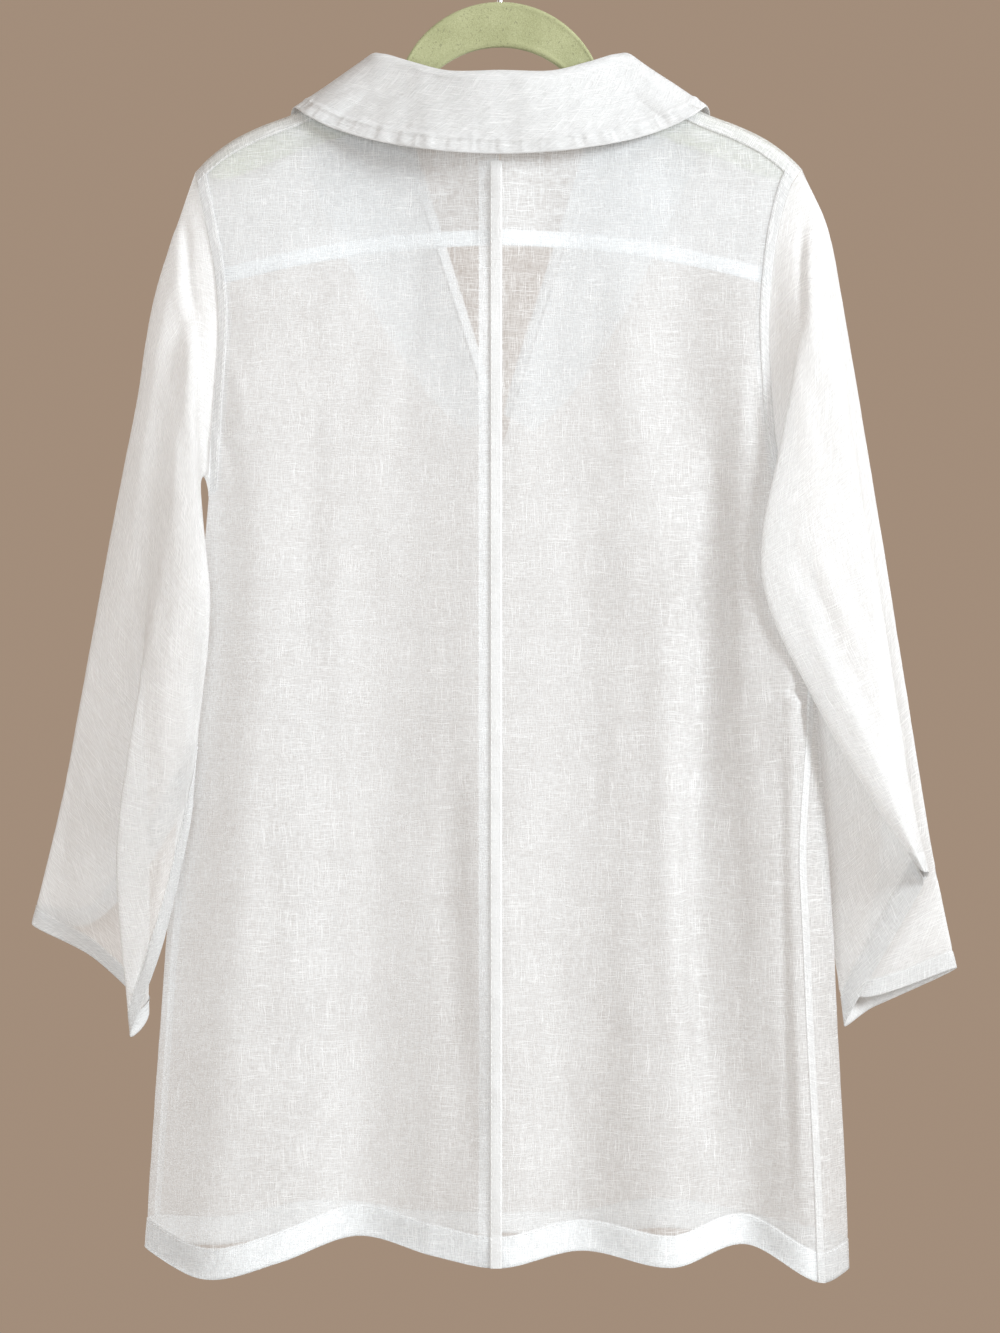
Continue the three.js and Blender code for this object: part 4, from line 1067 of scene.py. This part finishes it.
def collar():
    half = []
    for front, seam, roll, edge in COLLAR:
        station = [np.array(p, float) for p in (seam, roll, edge)]
        if front:
            for k, p in enumerate(station):
                p[1] = body_depth(p[0], p[2], True) + (LAPEL_LIFT if k else 0)
        half.append(np.array(station))
    flip = np.array([-1, 1, 1])
    stations = np.array([s * flip for s in half[:0:-1]] + half)
    last = len(stations) - 1
    t = np.linspace(0, last, last * COLLAR_STEPS + 1)
    seam, roll, edge = (along_fold(stations[:, k], t) for k in range(3))
    ahead = along_fold(stations[:, 1], np.minimum(last, t + TANGENT_STEP))
    tangent = ahead - along_fold(stations[:, 1], np.maximum(0, t - TANGENT_STEP))
    out = unit(np.cross(edge - roll, tangent))
    up, down = unit(seam - roll), unit(edge - roll)
    radius = np.minimum(ROLL_RADIUS, ROLL_SHARE * np.linalg.norm(seam - roll, axis=-1))[:, None]
    inner = roll - out * radius + up * 2 * radius
    outer = roll + out * radius + down * 2 * radius
    key = [seam, inner, roll, outer, edge]
    columns = []
    for i, count in enumerate(SECTION_STEPS):
        around = [key[max(0, i - 1)], key[i], key[i + 1], key[min(4, i + 2)]]
        share = np.arange(count) / count
        if i == len(SECTION_STEPS) - 1:
            share = 1 - (1 - share) ** EDGE_CROWD
        columns += [round_fold(*around, k) for k in share]
    points = np.stack(columns + [edge], 1)
    in_front = (t < FRONT_START) | (t > last - FRONT_START)
    fall = sum(SECTION_STEPS[:2])
    for front in (False, True):
        p = points[:, fall:]
        depth = body_depth(p[..., 0], p[..., 2], front)
        if front:
            clear = np.maximum(p[..., 1], depth + LAPEL_LIFT)
        else:
            clear = np.minimum(p[..., 1], depth - LAPEL_LIFT)
        over = p[..., 2] <= top_edge(np.abs(p[..., 0]), front) + 2
        p[..., 1] = np.where(over & (in_front == front)[:, None], clear, p[..., 1])
    along = np.gradient(points, axis=0)
    across = np.gradient(points, axis=1)
    normals = unit(np.cross(along, across))
    for _ in range(NORMAL_ROUNDS):
        normals[1:-1] = unit(normals[:-2] + normals[1:-1] * 2 + normals[2:])
    length = runs(spans(points))
    from_edge = runs(spans(points[:, ::-1], 1), 1)[:, ::-1]
    s = length[:, -1][:, None]
    wave = noise(s / 38, from_edge / 60, 51) * 1.0 + noise(s / 15, from_edge / 24, 52) * 0.4
    near = (from_edge - STITCH_INSET) / 1.4
    band = smooth((STITCH_INSET + 3 - from_edge) / 4) * smooth(from_edge / 3)
    fine = noise(s / 2.7, from_edge / 26, 53) * 0.45
    ribs = band * (fine + noise(s / 9, from_edge / 20, 54) * 0.4)
    beside = np.exp(-(((from_edge - STITCH_INSET - 4) / 5) ** 2))
    pucker = beside * noise(s / 5, from_edge / 30, 55) * 0.3
    groove = -0.7 * np.exp(-(near**2))
    shown = smooth((np.arange(points.shape[1]) - fall) / 12)[None]
    relief = (wave + ribs + pucker + groove) * shown
    middle = points + normals * (relief - 0.2)[..., None]
    # The wall tapers to its folded outer edge.
    thick = COLLAR_THICK / 2 * np.sqrt(np.clip(1 - (1 - from_edge / 1.2).clip(0) ** 2, 0.02, 1))
    upper = middle + normals * thick[..., None]
    under = middle - normals * thick[..., None]
    wall = np.concatenate([upper, under[:, ::-1]], 1)
    across = np.concatenate([from_edge, -from_edge[:, ::-1]], 1)
    uv = np.stack([np.concatenate([length, length[:, ::-1]], 1), across], -1)
    # The collar's front rows take the felled linen, see-through and darker than the doubled
    # collar: painted shade on the collar's front.
    piece = Piece("cloth_collar").grid(wall, uv, finish=in_front[:-1])
    for end in (0, -1):
        piece.grid(np.stack([upper[end], middle[end], under[end]]), None)
    obj = piece.build([DOUBLED, FELLED], "linen_double", ["collar"])
    at = np.argmin(np.abs(from_edge - STITCH_INSET), 1)
    pick = np.arange(len(t))
    line = (upper + normals * 0.2)[pick, at]
    return obj, smooth_line(line)


def smooth_line(line):
    for _ in range(3):
        line[1:-1] = (line[:-2] + 2 * line[1:-1] + line[2:]) / 4
    return line


# Stitches


def stitches(name, lines, stitch=3.0, gap=1.1, thick=0.28):
    """Short raised threads along lines of points."""
    ring = np.linspace(0, 2 * np.pi, 5)[:-1] + np.pi / 4
    centres, tangents = [], []
    for line in lines:
        lengths = runs(spans(line))
        starts = np.arange(gap, lengths[-1] - stitch, stitch + gap)
        ends = [starts, starts + stitch / 2, starts + stitch]
        pts = [np.stack([np.interp(s, lengths, line[:, k]) for k in range(3)], -1) for s in ends]
        centres.append(np.stack(pts, 1))
        tangents.append(unit(pts[2] - pts[0]))
    centres = np.concatenate(centres)
    tangents = np.concatenate(tangents)
    away = np.where(np.abs(tangents[:, 1:2]) < 0.9, [[0.0, 1.0, 0.0]], [[1.0, 0.0, 0.0]])
    a = unit(np.cross(tangents, away))
    b = np.cross(tangents, a)
    rings = []
    for k, size in enumerate((0.35, 1.0, 0.35)):
        corners = [np.cos(r) * a + np.sin(r) * b for r in ring]
        rings.append(np.stack([centres[:, k] + thick * size * corner for corner in corners], 1))
    piece = Piece(name)
    for thread in np.stack(rings, 1):
        piece.grid(thread, None, True)
    return piece.build([THREAD], "linen_double")


# Hanger


def hanger():
    """The flat hanger: an arch at the neck and two sloping arms, with rounded rims."""
    arch_z = HANGER_TOP - ARCH_RADIUS
    a = np.linspace(0, ARCH_TURN, 40)
    arch = np.stack([ARCH_RADIUS * np.sin(a), arch_z + ARCH_RADIUS * np.cos(a)], -1)
    x = np.linspace(ARM_TOP["x"][0], ARM_END, 60)
    arm = np.stack([x, read(ARM_TOP, "x", "z", x)], -1)
    x = np.linspace(ARM_END, ARM_BOTTOM["x"][-1], 50)
    low = np.stack([x, read(ARM_BOTTOM, "x", "z", x)], -1)
    a = np.linspace(INNER_TURN, 0, 40)
    inner = np.stack([INNER_RADIUS * np.sin(a), INNER_Z + INNER_RADIUS * np.cos(a)], -1)
    upper = resample(np.concatenate([arch, arm]), HANGER_COLUMNS)
    lower = resample(np.concatenate([low, inner])[::-1], HANGER_COLUMNS)
    upper = np.concatenate([(upper * [-1, 1])[:0:-1], upper])
    lower = np.concatenate([(lower * [-1, 1])[:0:-1], lower])
    # Across the hanger: from the lower edge over the back face to the upper edge and round.
    turn = np.linspace(0, 2 * np.pi, HANGER_SIDES + 1)[:-1]
    width = np.linalg.norm(upper - lower, axis=-1)
    columns = []
    for angle in turn:
        c, s = math.cos(angle), math.sin(angle)
        edge = np.sign(c) * abs(c) ** RIM_SQUARE
        face = np.sign(s) * abs(s) ** FACE_SQUARE
        middle = (upper + lower) / 2 + (upper - lower) / 2 * edge
        from_rim = width / 2 * (1 - abs(edge)) - HANGER_RIM
        bead = 1 - BEAD_DEPTH * smooth(from_rim / BEAD_SPAN)
        y = HANGER_THICK / 2 * face * bead
        columns.append(np.stack([middle[:, 0], y, middle[:, 1]], -1))
    points = np.stack(columns, 1)
    piece = Piece("flocked_hanger").grid(points, None, True)
    for end in (0, -1):
        tip = points[end]
        centre = tip.mean(0)
        out = np.sign(centre[0])
        ring = lerp(tip, centre, 0.4) + [0.8 * out, 0, 0]
        point = np.tile(centre + [1.0 * out, 0, 0], (len(tip), 1))
        piece.grid(np.stack([tip, ring, point]), None, True)
    return piece.build([FLOCK], "flock", ["hanger"])


def resample(line, count):
    lengths = runs(spans(line))
    s = np.linspace(0, lengths[-1], count)
    return np.stack([np.interp(s, lengths, line[:, k]) for k in range(2)], -1)


def hook():
    crown = HOOK_WIRE / 2
    centre = crown - HOOK_RADIUS
    t = np.linspace(0, 1, 30)[:, None]
    ends = [(0, HOOK_BEND_Z), (0, HOOK_BEND_Z + HOOK_RISE)]
    ends += [(HOOK_RADIUS, centre - HOOK_DROP), (HOOK_RADIUS, centre)]
    b = [np.array(p, float) for p in ends]
    bend = (1 - t) ** 3 * b[0] + 3 * (1 - t) ** 2 * t * b[1]
    bend = bend + 3 * (1 - t) * t**2 * b[2] + t**3 * b[3]
    a = np.linspace(0, HOOK_SWEEP, 60)[1:]
    arc = np.stack([HOOK_RADIUS * np.cos(a), centre + HOOK_RADIUS * np.sin(a)], -1)
    line = np.concatenate([[[0, HANGER_TOP - 2]], [[0, HOOK_BEND_Z - 4]], bend, arc])
    line = resample(line, HOOK_ROWS)
    tangent = unit(np.gradient(line, axis=0))
    side = np.stack([-tangent[:, 1], tangent[:, 0]], -1)
    tip = (np.linspace(0, 1, HOOK_ROWS) - 0.985).clip(0) / 0.0155
    radius = HOOK_WIRE / 2 * np.sqrt(np.clip(1 - tip**2, 0.01, 1))
    columns = []
    for angle in np.linspace(0, 2 * np.pi, HOOK_SIDES + 1)[:-1]:
        flat = line + side * (radius * math.cos(angle))[:, None]
        columns.append(np.stack([flat[:, 0], radius * math.sin(angle), flat[:, 1]], -1))
    piece = Piece("hook_wire").grid(np.stack(columns, 1), None, True)
    return piece.build([STEEL], "wire", ["hook"])


# The jacket

panels = {(side, front): panel(side, front) for side in (-1, 1) for front in (False, True)}
seam_lines = []
centre_pieces, lines = centre_seam()
seam_lines += lines
extras = {key: [] for key in panels}
extras[(-1, False)] += centre_pieces
for side in (-1, 1):
    strip, line = side_seam(side)
    extras[(side, False)].append(strip)
    seam_lines.append(line)
    strip, line = shoulder_seam(side)
    extras[(side, False)].append(strip)
    seam_lines.append(line)
    for front in (False, True):
        strip, line = armhole_seam(side, front)
        extras[(side, front)].append(strip)
        seam_lines.append(line)
facings = {side: facing(side) for side in (-1, 1)}
hem_lines = []
for side in (-1, 1):
    for front in (False, True):
        t = np.linspace(0, 1, HEM_STITCH_POINTS)
        v = np.full(HEM_STITCH_POINTS, HEM_TOP_V + 0.001)
        angle = panel_angle(side, front, v, t)
        hem_lines.append(cloth(side, front, angle, v, 0.3))
left_sleeve, left_line = sleeve(-1, LEFT_FOLDS, LEFT_CREASES)
right_sleeve, right_line = sleeve(1, RIGHT_FOLDS, RIGHT_CREASES)
collar_piece, collar_line = collar()
stitches("stitches_seams", seam_lines)
stitches("stitches_hem", hem_lines)
stitches("stitches_cuffs", [left_line, right_line])
stitches("stitches_collar", [collar_line])
hanger()
hook()


# Stage, light and camera


def area_light(name, place, aim, size, power, colour):
    data = bpy.data.lights.new(name, "AREA")
    data.shape = "DISK"
    data.size = size
    data.energy = power
    data.color = colour
    lamp = add_object(name, data)
    lamp.location = place
    lamp.rotation_euler = (Vector(aim) - Vector(place)).to_track_quat("-Z", "Y").to_euler()


floor_mesh = bpy.data.meshes.new("floor")
FLOOR_HALF, FLOOR_Z = 2.2, -1.62
corners = [(-FLOOR_HALF, -FLOOR_HALF, FLOOR_Z), (FLOOR_HALF, -FLOOR_HALF, FLOOR_Z)]
corners += [(FLOOR_HALF, FLOOR_HALF, FLOOR_Z), (-FLOOR_HALF, FLOOR_HALF, FLOOR_Z)]
floor_mesh.from_pydata(corners, [], [(0, 1, 2, 3)])
floor_mesh.materials.append(plain("pale_floor", (0.62, 0.60, 0.57)))
floor = add_object("floor", floor_mesh)

world = bpy.data.worlds.new("studio")
bpy.context.scene.world = world
world.use_nodes = True
backdrop = world.node_tree.nodes["Background"].inputs
backdrop["Color"].default_value = (0.365, 0.268, 0.198, 1)
backdrop["Strength"].default_value = 1.0

# Name, place, aim, size, power and colour
for lamp in (
    ("key", (2.2, -1.2, 0.5), (0, 0, -0.5), 0.9, 84, (0.88, 0.95, 1.0)),
    ("fill", (-0.6, -2.5, -0.4), (0, 0, -0.5), 1.8, 36, (0.83, 0.93, 1.0)),
    ("front", (-0.9, 2.5, 0.2), (0, 0, -0.5), 1.4, 24, (0.88, 0.95, 1.0)),
    ("top", (0.3, -0.6, 1.2), (0, 0, -0.4), 0.8, 5, (0.86, 0.94, 1.0)),
):
    area_light(*lamp)

camera_data = bpy.data.cameras.new("camera")
camera_data.sensor_fit = "VERTICAL"
camera_data.sensor_height = SENSOR
camera_data.lens = SENSOR * VIEW_DISTANCE / VIEW_HEIGHT
camera = add_object("camera", camera_data)
camera.location = (0, -VIEW_DISTANCE * MM, VIEW_Z * MM)
camera.rotation_euler = (math.pi / 2, 0, 0)
bpy.context.scene.camera = camera
bpy.context.scene.view_settings.view_transform = "Standard"
